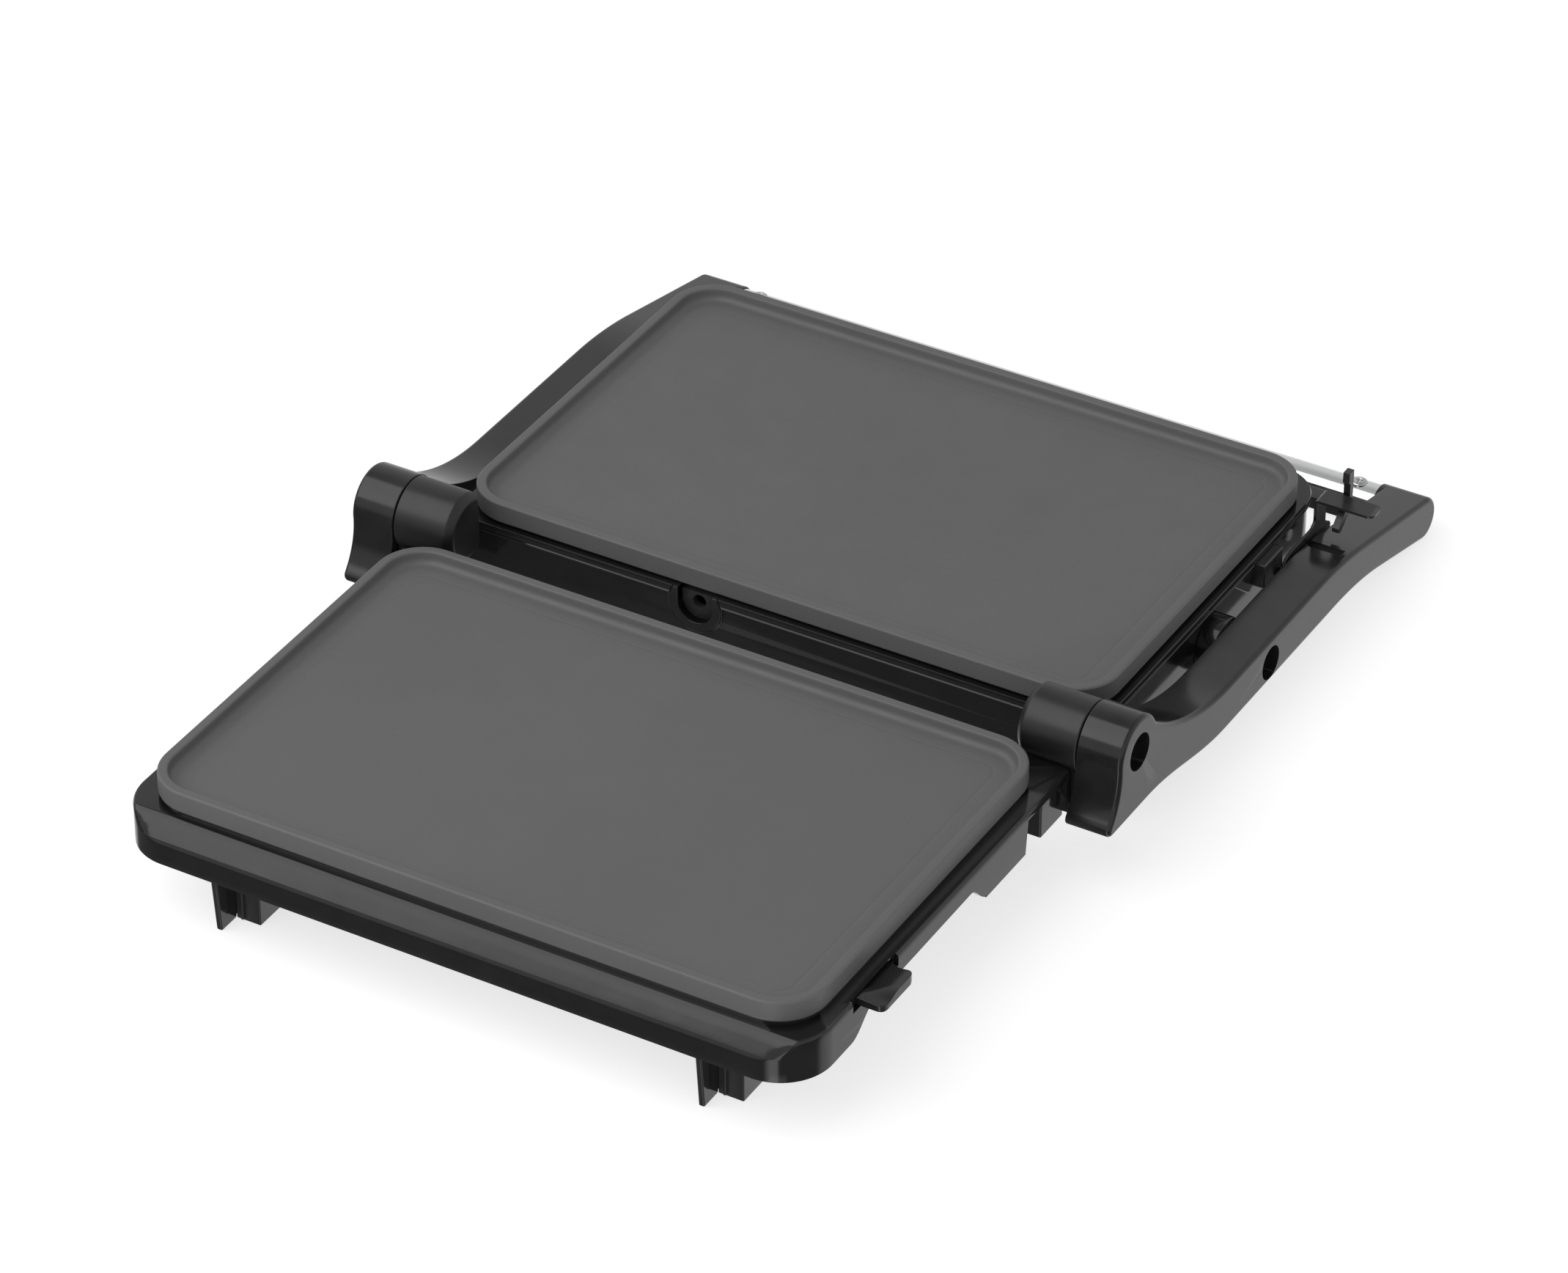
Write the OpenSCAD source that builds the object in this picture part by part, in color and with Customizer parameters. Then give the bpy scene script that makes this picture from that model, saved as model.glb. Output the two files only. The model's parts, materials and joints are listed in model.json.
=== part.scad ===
// Panini press with two flat griddle plates, laid open flat.
// X runs along the hinge, Y from the base towards the lid, Z up from the table.

/* [Plates] */
// Width of each griddle plate
plate_w = 291; // [285:1:293]
// Depth of each griddle plate, front to back
plate_d = 190; // [184:1:192]
// Corner radius of a plate
plate_r = 20; // [14:1:24]
// Width of the raised rim round a plate
plate_rim = 4.5; // [3:0.5:7]
// Height of a plate's outer wall
plate_wall = 9; // [8.5:0.25:9.5]
// Depth of the cooking surface below the rim
plate_dish = 5; // [3:0.5:5.5]
// Gap from the hinge axis to the lower plate
lower_gap = 20; // [19:0.5:21]
// Gap from the hinge axis to the upper plate
upper_gap = 18.5; // [18:0.5:19.5]

/* [Base] */
// Half the width of the base housing
base_hw = 152; // [151.5:0.25:152.5]
// Overhang of the base housing in front of the lower plate
base_lip = 9; // [8:0.5:11]
// Corner radius at the front of the housing
base_r = 22; // [16:1:24]
// Depth of the sloping front edge, front to back
chamfer_d = 7; // [5:0.5:8]
// Height of the sloping front edge
chamfer_h = 8.5; // [6:0.5:9]
// Height of the housing's lower edge above the table
skirt_z = 26; // [24:1:27]
// Travel of the lower plate's release tab
tab_travel = 4; // [2:0.5:4.5]

/* [Hinge and arms] */
// Height of the hinge axis above the table
hinge_z = 52; // [51.5:0.25:52.5]
// Outer radius of the hinge knuckles
knuckle_r = 15.4; // [14.5:0.1:15.5]
// Radius of the hinge pins
hinge_pin_r = 5; // [4:0.5:5.5]
// Radius of the screw recess in each arm's knuckle
hinge_recess_r = 7.9; // [7:0.1:8.2]
// Distance from the centre plane to an arm's inner face
arm_in = 155.2; // [155:0.1:155.6]
// Thickness of an arm, inside face to outside face
arm_t = 19.5; // [18:0.5:20]
// Distance from the hinge axis to the lid pivots
pivot_y = 113.5; // [112:0.5:115]
// Height of the lid pivots above the table
pivot_z = 24.5; // [24:0.25:25]
// Radius of the lid pivot pins
pivot_pin_r = 4.5; // [3.5:0.5:5]
// Radius of the screw recess round each lid pivot
pivot_recess_r = 7.3; // [6.5:0.1:7.5]
// Radius of the handle tube
bar_r = 8.4; // [8:0.1:8.5]

/* [Lid] */
// Half the width of the lid housing's rim
lid_hw = 148.5; // [147.5:0.25:149]
// Overhang of the lid housing behind the upper plate
lid_lip = 7; // [5:0.5:8]
// Height of the lid cover's outer face above the table, lid open
lid_bottom_z = 10; // [8:1:12]
// Travel of the upper plate's release button
button_travel = 3; // [2:0.5:3]
// Travel of the lock slider
lock_travel = 8; // [4:1:8]

/* [Hidden] */

$fn = 64;
hinge_y = -24;              // the hinge axis, from the middle of the whole press
rim_z = hinge_z + 3;        // lower plate's rim
upper_rim_z = hinge_z + 2.4;
deck_z = rim_z - plate_wall - 2;   // top of the base housing
wall = 2.5;                 // moulded wall thickness
sheet = 0.8;                // sheet metal thickness
arm_out = arm_in + arm_t;
recess_d = 8.2;             // depth of the screw recesses in an arm
lower_back = -lower_gap;
lower_front = lower_back - plate_d;
upper_front = upper_gap;
upper_back = upper_front + plate_d;
base_front = lower_front - base_lip;
base_back = -12;
gland_x = 70;
base_screw_x = 124;
base_screw_y = [-190, -70];
tab_y = -177;               // front edge of the lower release tab
tab_w = 23.4;
tab_in = base_hw - 1.8;     // inner edge of the tab's open slot in the deck
tab_out = base_hw + 10;
tower_in = 128;             // inner end of the base's knuckle
tower_back = 7;             // flat back of the base's knuckle
knuckle_gap = 0.4;
web_z = 21.5;               // lower end of the webs below the base's knuckles
running = 0.05;             // radial clearance of a shaft
lid_front = upper_front - 1.7;
lid_back = upper_back + lid_lip;
lid_rim_z = upper_rim_z - plate_wall - 1.4;
lid_wall_z = lid_rim_z - 22;
lid_screw_x = 128;
lid_screw_y = [45, 180];
end_y = 257;                // centre of an arm's round far end, and of the handle tube
end_r = 9.2;
opening_in = 21;            // from a plate's edge to the opening under it
element_r = 3.3;

// ---- shared shapes ----

// Everything below is drawn from the hinge axis and moved to the part's frame here.
module at_hinge() { translate([0, hinge_y, 0]) children(); }

module both_sides() {
    children();
    mirror([1, 0, 0]) children();
}

// A rectangle with round corners, from y0 to y1 and hw to each side.
module round_rect(hw, y0, y1, r) {
    translate([-hw + r, y0]) square([2 * (hw - r), y1 - y0]);
    translate([-hw, y0 + r]) square([2 * hw, y1 - y0 - 2 * r]);
    for (x = [-hw + r, hw - r]) for (y = [y0 + r, y1 - r]) translate([x, y]) circle(r);
}

// A rectangle with one radius at its front corners and another at its back corners.
module round_rect2(hw, y0, y1, r0, r1) {
    translate([-hw + r0, y0]) square([2 * (hw - r0), r0 + 1]);
    translate([-hw, y0 + r0]) square([2 * hw, y1 - y0 - r0 - r1]);
    translate([-hw + r1, y1 - r1 - 1]) square([2 * (hw - r1), r1 + 1]);
    for (x = [-hw + r0, hw - r0]) translate([x, y0 + r0]) circle(r0);
    for (x = [-hw + r1, hw - r1]) translate([x, y1 - r1]) circle(r1);
}

module slab(z0, z1) { translate([0, 0, z0]) linear_extrude(z1 - z0) children(); }

// A cylinder along X.
module rod_x(x0, x1, y, z, r) { translate([x0, y, z]) rotate([0, 90, 0]) cylinder(h = x1 - x0, r = r); }

// A flat outline in Y and Z, given thickness along X.
module side_plate(x0, x1) {
    translate([x0, 0, 0]) rotate([90, 0, 90]) linear_extrude(x1 - x0) children();
}

function arc(cx, cy, r, a0, a1, n) = [for (i = [0:n]) let (a = a0 + (a1 - a0) * i / n)
    [cx + r * cos(a), cy + r * sin(a)]];

// A smooth step from z0 to z1 while y goes from y0 to y1.
function s_curve(y0, z0, y1, z1, n) = [for (i = [0:n])
    [y0 + (y1 - y0) * i / n, z0 + (z1 - z0) * (1 - cos(180 * i / n)) / 2]];

// A quadratic curve with one control point.
function bend(p, c, q, n) = [for (i = [0:n]) let (t = i / n)
    p * (1 - t) * (1 - t) + c * 2 * t * (1 - t) + q * t * t];

module screw_cross(r, depth) {
    for (a = [0, 90]) rotate(a) translate([-r, -r / 5, -depth]) cube([2 * r, 2 * r / 5, depth + 1]);
}

// A pan head screw, with its head upwards from z = 0 and its shank downwards.
module pan_screw(head_r, head_h, shank_r, shank_l) {
    difference() {
        union() {
            cylinder(h = head_h * 0.6, r = head_r);
            translate([0, 0, head_h * 0.6]) cylinder(h = head_h * 0.4, r1 = head_r, r2 = head_r * 0.62);
        }
        translate([0, 0, head_h]) screw_cross(head_r * 0.55, head_h * 0.6);
    }
    translate([0, 0, -shank_l]) cylinder(h = shank_l, r = shank_r);
}

// ---- griddle plates ----

module griddle_plate(y0, z_rim) {
    y1 = y0 + plate_d;
    hw = plate_w / 2;
    z_wall = z_rim - plate_wall;
    z_floor = z_rim - plate_dish;
    difference() {
        slab(z_wall, z_rim) round_rect(hw, y0, y1, plate_r);
        slab(z_floor, z_rim + 1)
            round_rect(hw - plate_rim, y0 + plate_rim, y1 - plate_rim, plate_r - plate_rim);
        slab(z_wall - 1, z_floor - 3) round_rect(hw - 5, y0 + 5, y1 - 5, plate_r - 5);
    }
    // locating ring on the underside
    difference() {
        slab(z_wall - 0.5, z_floor - 2.5) round_rect(hw - 16, y0 + 16, y1 - 16, 10);
        slab(z_wall - 3, z_floor - 2) round_rect(hw - 18, y0 + 18, y1 - 18, 8);
    }
}

module lower_plate() { color("dimgray") at_hinge() griddle_plate(lower_front, rim_z); }

module upper_plate() { color("dimgray") at_hinge() griddle_plate(upper_front, upper_rim_z); }

// ---- heating parts, shared by base and lid ----

// A pressed tray with a flange, open towards +Z.
module tray(hw, y0, y1, r, z_top, depth) {
    difference() {
        union() {
            slab(z_top - sheet, z_top) round_rect(hw, y0, y1, r);
            slab(z_top - depth, z_top) round_rect(hw - 6, y0 + 6, y1 - 6, r - 4);
        }
        slab(z_top - depth + sheet, z_top + 1)
            round_rect(hw - 6 - sheet, y0 + 6 + sheet, y1 - 6 - sheet, r - 5);
    }
}

// A U-shaped tubular element with its open end towards y_end.
module element(hw, y_turn, y_end, z) {
    r_turn = 18;
    s = y_end > y_turn ? 1 : -1;
    for (x = [-hw, hw]) translate([x, y_turn + s * r_turn, z]) rotate([-s * 90, 0, 0])
        cylinder(h = abs(y_end - y_turn) - r_turn, r = element_r);
    for (k = [-1, 1]) translate([k * (hw - r_turn), y_turn + s * r_turn, z])
        intersection() {
            rotate_extrude() translate([r_turn, 0]) circle(element_r, $fn = 32);
            translate([k > 0 ? 0 : -30, s > 0 ? -30 : 0, -10]) cube([30, 30, 20]);
        }
    rod_x(-(hw - r_turn), hw - r_turn, y_turn, z, element_r);
}

module element_clip(x, y, z, z_seat) {
    difference() {
        translate([x - element_r - 1, y - 3, z_seat]) cube([2 * element_r + 2, 6, z + element_r + 1 - z_seat]);
        translate([x, y - 4, z]) rotate([-90, 0, 0]) cylinder(h = 8, r = element_r);
        translate([x - element_r, y - 4, z_seat - 1]) cube([2 * element_r, 8, z - z_seat + 1]);
    }
}

module thermostat(x, y, z) {
    translate([x, y, z]) {
        cylinder(h = 5, r = 8);
        translate([0, 0, 5]) cylinder(h = 3, r = 5);
        translate([-12, -3, 1]) cube([24, 6, 1]);
    }
}

// ---- base ----

module base_outline(inset) {
    round_rect2(base_hw - inset, base_front + inset, base_back - inset,
        base_r - inset, max(3 - inset, 0.5));
}

// The leg below the front edge: a tapered fin with a block beside it.
module front_leg(x) {
    fin_w = 2.6;
    y_toe = base_front + 4.5;
    side_plate(x, x + fin_w)
        polygon([[base_front + 1, skirt_z + 9.5], [y_toe, 0], [y_toe + 10, 0], [y_toe + 24, skirt_z + 9.5]]);
    difference() {
        translate([x + fin_w, y_toe + 10, 0]) cube([11, 16, skirt_z + 6]);
        translate([x + fin_w + 1, y_toe + 12, -1]) cube([8, 12, skirt_z]);
    }
}

module rear_leg(x) {
    difference() {
        translate([x - 8, -56, 0]) cube([16, 20, skirt_z + 8]);
        translate([x - 6, -54, -1]) cube([12, 16, skirt_z]);
    }
    // web to the back wall
    translate([x - 8, -37, skirt_z + 0.3]) cube([16, 24, 7.7]);
}

// The knuckle on one side, on the tower that carries it behind the base.
module hinge_tower() {
    difference() {
        union() {
            intersection() {
                union() {
                    rod_x(tower_in + 3, arm_in - knuckle_gap, 0, hinge_z, knuckle_r);
                    translate([tower_in, 0, hinge_z]) rotate([0, 90, 0])
                        cylinder(h = 3, r1 = knuckle_r - 3, r2 = knuckle_r);
                }
                translate([tower_in - 1, -knuckle_r - 1, 0]) cube([40, knuckle_r + 1 + tower_back, 80]);
            }
            // web down the back of the base
            side_plate(tower_in + 6, arm_in - knuckle_gap)
                polygon([[base_back, web_z], [tower_back, web_z], [tower_back, hinge_z],
                    [base_back, hinge_z - 6]]);
        }
        rod_x(tower_in + 5, arm_out, 0, hinge_z, hinge_pin_r);
    }
}

module hinge_towers() { color("#1d1d1f") at_hinge() both_sides() hinge_tower(); }

// One side wall's lower edge, raised along its middle.
module skirt_notch() {
    side_plate(base_hw - 6, base_hw + 1)
        polygon(concat([[-184, skirt_z - 1]], s_curve(-183, skirt_z, -166, skirt_z + 9, 8),
            s_curve(-92, skirt_z + 9.5, -80, skirt_z + 1, 8), [[-80, skirt_z - 1]]));
    side_plate(base_hw - 6, base_hw + 1)
        polygon([[-49, skirt_z - 1], [-47, deck_z - 3], [-16, deck_z - 3], [-16, skirt_z - 1]]);
}

module front_chamfer() {
    side_plate(-base_hw - 1, base_hw + 1)
        polygon([[base_front - 1, deck_z + 1], [base_front - 1, deck_z - chamfer_h],
            [base_front, deck_z - chamfer_h], [base_front + chamfer_d, deck_z],
            [base_front + chamfer_d, deck_z + 1]]);
}

module base_shell() {
    difference() {
        slab(skirt_z, deck_z) base_outline(0);
        slab(skirt_z - 1, deck_z - chamfer_h - 1) base_outline(wall);
        slab(skirt_z - 1, deck_z - wall) base_outline(11);
        slab(deck_z - 9, deck_z + 1) round_rect(plate_w / 2 - opening_in,
            lower_front + opening_in, lower_back - opening_in, 8);
        front_chamfer();
        both_sides() skirt_notch();
        both_sides() rod_x(tower_in - 1, base_hw + 1, 0, hinge_z, knuckle_r);
        // hole for the cord's gland
        translate([gland_x, base_back + 1, skirt_z + 5]) rotate([90, 0, 0]) cylinder(h = wall + 2, r = 4);
        // slot for the release tab, wider and open at the top outside the deck's edge
        translate([base_hw - 26, tab_y - 0.4, deck_z - 4.8]) cube([27, tab_w + 0.8, 4.2]);
        translate([tab_in, tab_y - 5, deck_z - 4.8]) cube([10, tab_w + 10.6, 6]);
    }
}

module base_housing() {
    color("#1d1d1f") at_hinge() {
        base_shell();
        // block in front of each hinge tower
        both_sides() translate([139.5, -30, 20]) cube([9, 30 + base_back, deck_z - 22]);
        for (x = [-108.8, 105]) front_leg(x);
        for (x = [-112, 112]) rear_leg(x);
        // pads that carry the plate
        for (x = [-110, 110]) for (y = [lower_front + 1.5, lower_back - 4.5])
            translate([x - 6, y, deck_z - 0.5]) cube([12, 3, rim_z - plate_wall - deck_z + 0.5]);
        both_sides() for (y = base_screw_y) {
            // post for a screw of the cover, and the ledge that it hangs from
            difference() {
                translate([base_screw_x, y, skirt_z]) cylinder(h = 8.7, r = 4);
                translate([base_screw_x, y, skirt_z - 1]) cylinder(h = 8, r = 1.5);
            }
            translate([base_screw_x, y - 4, skirt_z + 7.2]) cube([base_hw - base_screw_x - 3, 8, 1.5]);
        }
    }
}

module base_cover() {
    z0 = skirt_z - 4;
    color("#242426") at_hinge() difference() {
        union() {
            difference() {
                slab(z0, skirt_z) round_rect(136, -205, -18, 14);
                slab(z0 + 2, skirt_z + 1) round_rect(134, -203, -20, 12);
            }
            both_sides() for (y = base_screw_y)
                translate([base_screw_x, y, z0 + 1]) cylinder(h = 3, r = 5);
        }
        for (i = [-4:4]) translate([i * 14 - 2, -150, z0 - 1]) cube([4, 60, 6]);
        for (x = [-112, 112]) translate([x - 8.5, -56.5, z0 - 1]) cube([17, 21, 6]);
        for (x = [-110.5, 103]) translate([x - 1, -206, z0 - 1]) cube([20, 22, 6]);
        both_sides() for (y = base_screw_y)
            translate([base_screw_x, y, z0 - 1]) cylinder(h = 6, r = 1.8);
    }
}

module foot_pads() {
    color("#3a3a3c") at_hinge() {
        for (x = [-112, 112]) translate([x - 6, -54, 0]) cube([12, 16, 3]);
        for (x = [-108.8, 105]) translate([x + 3.6, base_front + 16.5, 0]) cube([8, 12, 3]);
    }
}

module base_screws() {
    color("silver") at_hinge() both_sides() for (y = base_screw_y)
        translate([base_screw_x, y, skirt_z - 4]) rotate([180, 0, 0]) pan_screw(3.6, 1.8, 1.5, 7);
}

module lower_reflector() {
    color("lightgray") at_hinge()
        tray(plate_w / 2 - 16, lower_front + 16, lower_back - 16, 12, deck_z + sheet, 10);
}

module lower_heating_element() {
    color("#5a5a5e") at_hinge() element(95, lower_front + 40, lower_back - 26, deck_z - 1.5);
}

module lower_element_clips() {
    color("silver") at_hinge() for (x = [-95, 95]) for (y = [-142, -70])
        element_clip(x, y, deck_z - 1.5, deck_z - 10 + 2 * sheet);
}

module lower_thermostat() {
    color("gainsboro") at_hinge() thermostat(0, -110, deck_z - 10 + 2 * sheet);
}

module thermal_fuse() {
    color("white") at_hinge() {
        rod_x(-60, -36, -60, skirt_z + 0.6, 2.6);
        rod_x(-66, -30, -60, skirt_z + 0.6, 0.7);
    }
}

module terminal_block() {
    color("ivory") at_hinge() difference() {
        translate([30, -48, skirt_z - 2]) cube([30, 14, 8]);
        for (i = [0:2]) translate([35 + i * 10, -41, skirt_z]) cylinder(h = 9, r = 2);
    }
}

module cord_gland() {
    color("#101010") at_hinge() translate([gland_x, base_back, skirt_z + 5]) rotate([90, 0, 0]) difference() {
        union() {
            translate([0, 0, -3]) cylinder(h = 3, r = 6);
            cylinder(h = wall + 1, r = 4);
        }
        translate([0, 0, -4]) cylinder(h = 12, r = 3);
    }
}

module hinge_pins() {
    color("silver") at_hinge() both_sides()
        rod_x(tower_in + 5, arm_out - recess_d - 0.3, 0, hinge_z, hinge_pin_r);
}

module hinge_screws() {
    color("#2b2b2d") at_hinge() both_sides() translate([arm_out - recess_d + 0.8, 0, hinge_z])
        rotate([0, 90, 0]) pan_screw(hinge_recess_r - 1, 2.2, 2, 1.1);
}

module lower_release_tab() {
    r = 3;
    thumb_in = tab_in + tab_travel + 0.4;
    color("#2a2a2c") at_hinge() {
        slab(deck_z - 4.4, deck_z - 1) {
            translate([base_hw - 13, tab_y]) square([tab_out - r - base_hw + 13, tab_w]);
            translate([tab_out - r - 1, tab_y + r]) square([r + 1, tab_w - 2 * r]);
            for (y = [tab_y + r, tab_y + tab_w - r]) translate([tab_out - r, y]) circle(r);
            translate([base_hw - 17, tab_y + 8]) square([5, tab_w - 16]);
        }
        // raised thumb rest, clear of the deck's edge when the tab is pressed
        translate([thumb_in, tab_y + r, deck_z - 2]) cube([tab_out - thumb_in, tab_w - 2 * r, 2]);
    }
}

// Coils of a small spring along X, drawn at its pressed length.
module spring_x(x0, y, z) {
    for (i = [0:3]) translate([x0 + i * 1.2, y, z]) rotate([0, 90, 0])
        rotate_extrude() translate([1.7, 0]) circle(0.35, $fn = 16);
}

module lower_release_spring() {
    color("silver") at_hinge()
        spring_x(base_hw - 17 - tab_travel - 4.3, tab_y + tab_w / 2, deck_z - 2.7);
}

// ---- arms ----

// The side outline of an arm: knuckle and toe, straight middle, and the drooping far end.
arm_top = hinge_z - 16.2;
arm_bottom = hinge_z - 36.4;
arm_toe = hinge_z - 27.6;
bar_skin = 1.4;
bar_screw_x = arm_in - 11.7;
bar_flat_z = end_r + bar_r - 0.7;   // flat under each screw's head
bar_screw_l = 6;
cuff_l = 2.3;
lug_y = 230;
lug_z = 16.8;

module arm_outline() {
    polygon(concat(
        bend([-knuckle_r, hinge_z], [-14.6, hinge_z - 13], [-22.6, hinge_z - 22.5], 12),
        arc(-20.4, arm_toe + 3, 3, 150, 270, 6),
        [[8, arm_toe]],
        s_curve(8, arm_toe, 75, arm_bottom, 14),
        bend([172, arm_bottom], [193, arm_bottom], [212, arm_bottom - 4.6], 8),
        arc(end_y, end_r, end_r, 256, 436, 20),
        bend([200, arm_top - 4.9], [178, arm_top], [158, arm_top], 8),
        arc(78, arm_top + 103, 103, 270, 232.5, 14),
        arc(0, hinge_z, knuckle_r, 25, 180, 24)
    ));
}

module arm_blank() {
    difference() {
        side_plate(arm_in, arm_out) arm_outline();
        rod_x(arm_in - 1, arm_out + 1, 0, hinge_z, hinge_pin_r + running);
        rod_x(arm_out - recess_d, arm_out + 1, 0, hinge_z, hinge_recess_r);
        rod_x(arm_in - 1, arm_out + 1, pivot_y, pivot_z, pivot_pin_r + running);
        rod_x(arm_out - recess_d, arm_out + 1, pivot_y, pivot_z, pivot_recess_r);
        // hollows behind the inner cover
        translate([arm_in + 3, 72, arm_bottom + 3]) cube([arm_t - 5.5, 28, 14]);
        translate([arm_in + 3, 127, arm_bottom + 3]) cube([arm_t - 5.5, 38, 14]);
        translate([arm_in - 1, 68, arm_bottom + 2]) cube([1 + 1.6, 101, 16]);
    }
    // plug inside the handle tube
    difference() {
        rod_x(arm_in - 18, arm_in + 1, end_y, end_r, bar_r - bar_skin);
        translate([bar_screw_x, end_y, bar_flat_z - bar_screw_l]) cylinder(h = 10, r = 1.2);
    }
    // cuff round the end of the tube
    difference() {
        rod_x(arm_in - cuff_l, arm_in + 1, end_y, end_r, end_r - 0.1);
        rod_x(arm_in - cuff_l - 1, arm_in, end_y, end_r, bar_r);
    }
    // lug behind the lid's far edge
    translate([arm_in - 30, lug_y, lug_z]) cube([31, 7.5, 6.2]);
}

module left_arm() { color("#2c2c2e") at_hinge() mirror([1, 0, 0]) arm_blank(); }

module right_arm() {
    color("#2c2c2e") at_hinge() difference() {
        arm_blank();
        // groove across the top, with a round corner at its inner end
        translate([arm_in + 3, 181.5, arm_top - 4]) cube([12.8, 5.5, 10]);
        translate([arm_in + 3, 184.5, arm_top - 4]) cylinder(h = 10, r = 3);
        for (y = lock_pin_y) rod_x(arm_in - 1, arm_in + 5, y, lock_pin_z, 1.5);
    }
}

module arm_cover() {
    difference() {
        translate([arm_in, 68.2, arm_bottom + 2.2]) cube([1.6, 100.6, 15.6]);
        rod_x(arm_in - 1, arm_in + 3, pivot_y, pivot_z, pivot_pin_r + 1);
    }
}

module left_arm_cover() { color("#3a3a3d") at_hinge() mirror([1, 0, 0]) arm_cover(); }

module right_arm_cover() { color("#3a3a3d") at_hinge() arm_cover(); }

module handle_bar() {
    color("#d8d8dc") at_hinge() difference() {
        rod_x(-arm_in, arm_in, end_y, end_r, bar_r);
        rod_x(-arm_in - 1, arm_in + 1, end_y, end_r, bar_r - bar_skin);
        for (x = [-bar_screw_x, bar_screw_x]) {
            translate([x, end_y, end_r]) cylinder(h = bar_r + 1, r = 1.2);
            translate([x, end_y, bar_flat_z]) cylinder(h = 2, r = 3.6);
        }
    }
}

module handle_screws() {
    color("silver") at_hinge() for (x = [-bar_screw_x, bar_screw_x])
        translate([x, end_y, bar_flat_z]) pan_screw(3.5, 1.7, 1.2, bar_screw_l);
}

module hinge_washers() {
    color("silver") at_hinge() both_sides() translate([arm_out - recess_d, 0, hinge_z]) rotate([0, 90, 0])
        difference() {
            cylinder(h = 0.5, r = hinge_recess_r - 0.4);
            translate([0, 0, -1]) cylinder(h = 3, r = 3);
        }
}

// ---- lock on the right arm ----

lock_x0 = arm_in - 1.9;
lock_x1 = arm_in - 0.7;
lock_pin_z = arm_top - 8.3;
lock_pin_y = [176, 194];
lock_tab_y0 = 192.8;
lock_tab_y1 = 202.1;
lock_tab_z = arm_top + 13.2;
lever_x = arm_in + 6;       // inner face of the lever
lever_t = 3;
lever_y = 204.6;            // the lever's pivot
lever_z = arm_top + 8.7;
lever_pin_r = 1.1;

module lock_guide_pins() {
    color("silver") at_hinge() for (y = lock_pin_y) {
        rod_x(arm_in, arm_in + 5, y, lock_pin_z, 1.5);
        rod_x(lock_x0 - 1.9, lock_x0 - 0.3, y, lock_pin_z, 2.6);
        rod_x(lock_x0 - 0.3, arm_in, y, lock_pin_z, 1.2);
    }
}

module lock_slot(y) {
    translate([y, lock_pin_z - 1.5]) square([lock_travel + 0.3, 3]);
    for (y_end = [y, y + lock_travel + 0.3]) translate([y_end, lock_pin_z]) circle(1.5);
}

// The leg beside the arm, with the upright that carries the thumb tab.
module lock_leg() {
    side_plate(lock_x0, lock_x1) difference() {
        polygon([[164, arm_top - 3.5], [166.5, arm_top - 4.5], [169, arm_top - 12], [207, arm_top - 12],
            [207, arm_top - 5], [lock_tab_y1, arm_top - 2], [lock_tab_y1, lock_tab_z],
            [lock_tab_y0, lock_tab_z], [lock_tab_y0, arm_top + 3], [189.5, arm_top + 0.9],
            [169, arm_top + 0.9], [164, arm_top - 2]]);
        for (y = lock_pin_y) lock_slot(y);
    }
}

module lock_thumb_tab() {
    r = 3;
    x_end = lock_x0 + 26.1;
    slab(lock_tab_z - 1.2, lock_tab_z) {
        translate([lock_x0, lock_tab_y0]) square([x_end - r - lock_x0, lock_tab_y1 - lock_tab_y0]);
        translate([x_end - r - 1, lock_tab_y0 + r]) square([r + 1, lock_tab_y1 - lock_tab_y0 - 2 * r]);
        for (y = [lock_tab_y0 + r, lock_tab_y1 - r]) translate([x_end - r, y]) circle(r);
    }
}

// An ear under the thumb tab that holds one end of the lever's pin.
module lock_ear(x) {
    side_plate(x, x + 1.4) difference() {
        union() {
            translate([lever_y, lever_z]) circle(2);
            polygon([[196, lock_tab_z - 1], [201.6, lock_tab_z - 1], [lever_y + 1.5, lever_z + 1.3],
                [lever_y - 1, lever_z - 1.7]]);
        }
        translate([lever_y, lever_z]) circle(lever_pin_r);
    }
}

module lock_slider() {
    color("#333335") at_hinge() {
        lock_leg();
        lock_thumb_tab();
        for (x = [lever_x - 1.9, lever_x + lever_t + 0.5]) lock_ear(x);
    }
}

module lock_lever() {
    color("#333335") at_hinge() side_plate(lever_x, lever_x + lever_t) difference() {
        union() {
            translate([lever_y, lever_z]) circle(2.4);
            translate([195.6, arm_top + 0.8]) circle(1.7);
            polygon([[194.4, arm_top + 2], [196.8, arm_top - 0.4], [lever_y + 1.4, lever_z - 1.9],
                [lever_y - 1.4, lever_z + 1.9]]);
            polygon([[203.2, lever_z], [206, lever_z], [206.2, arm_top + 23.8], [202.2, arm_top + 23.8],
                [201.9, arm_top + 19], [203.2, arm_top + 18.5]]);
        }
        translate([lever_y, lever_z]) circle(lever_pin_r + running);
    }
}

module lock_lever_pin() {
    color("silver") at_hinge() rod_x(lever_x - 1.9, lever_x + lever_t + 1.9, lever_y, lever_z, lever_pin_r);
}

// ---- lid ----

module lid_outline(inset) {
    round_rect2(lid_hw - inset, lid_front + inset, lid_back - inset, 9 - min(inset, 6), 20 - min(inset, 14));
}

dip_x = -33.5;
dip_z = lid_rim_z - 6.6;
dip_r = 8;
collar_r = 12.4;
button_y = 150.6;
button_w = 16.8;

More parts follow.
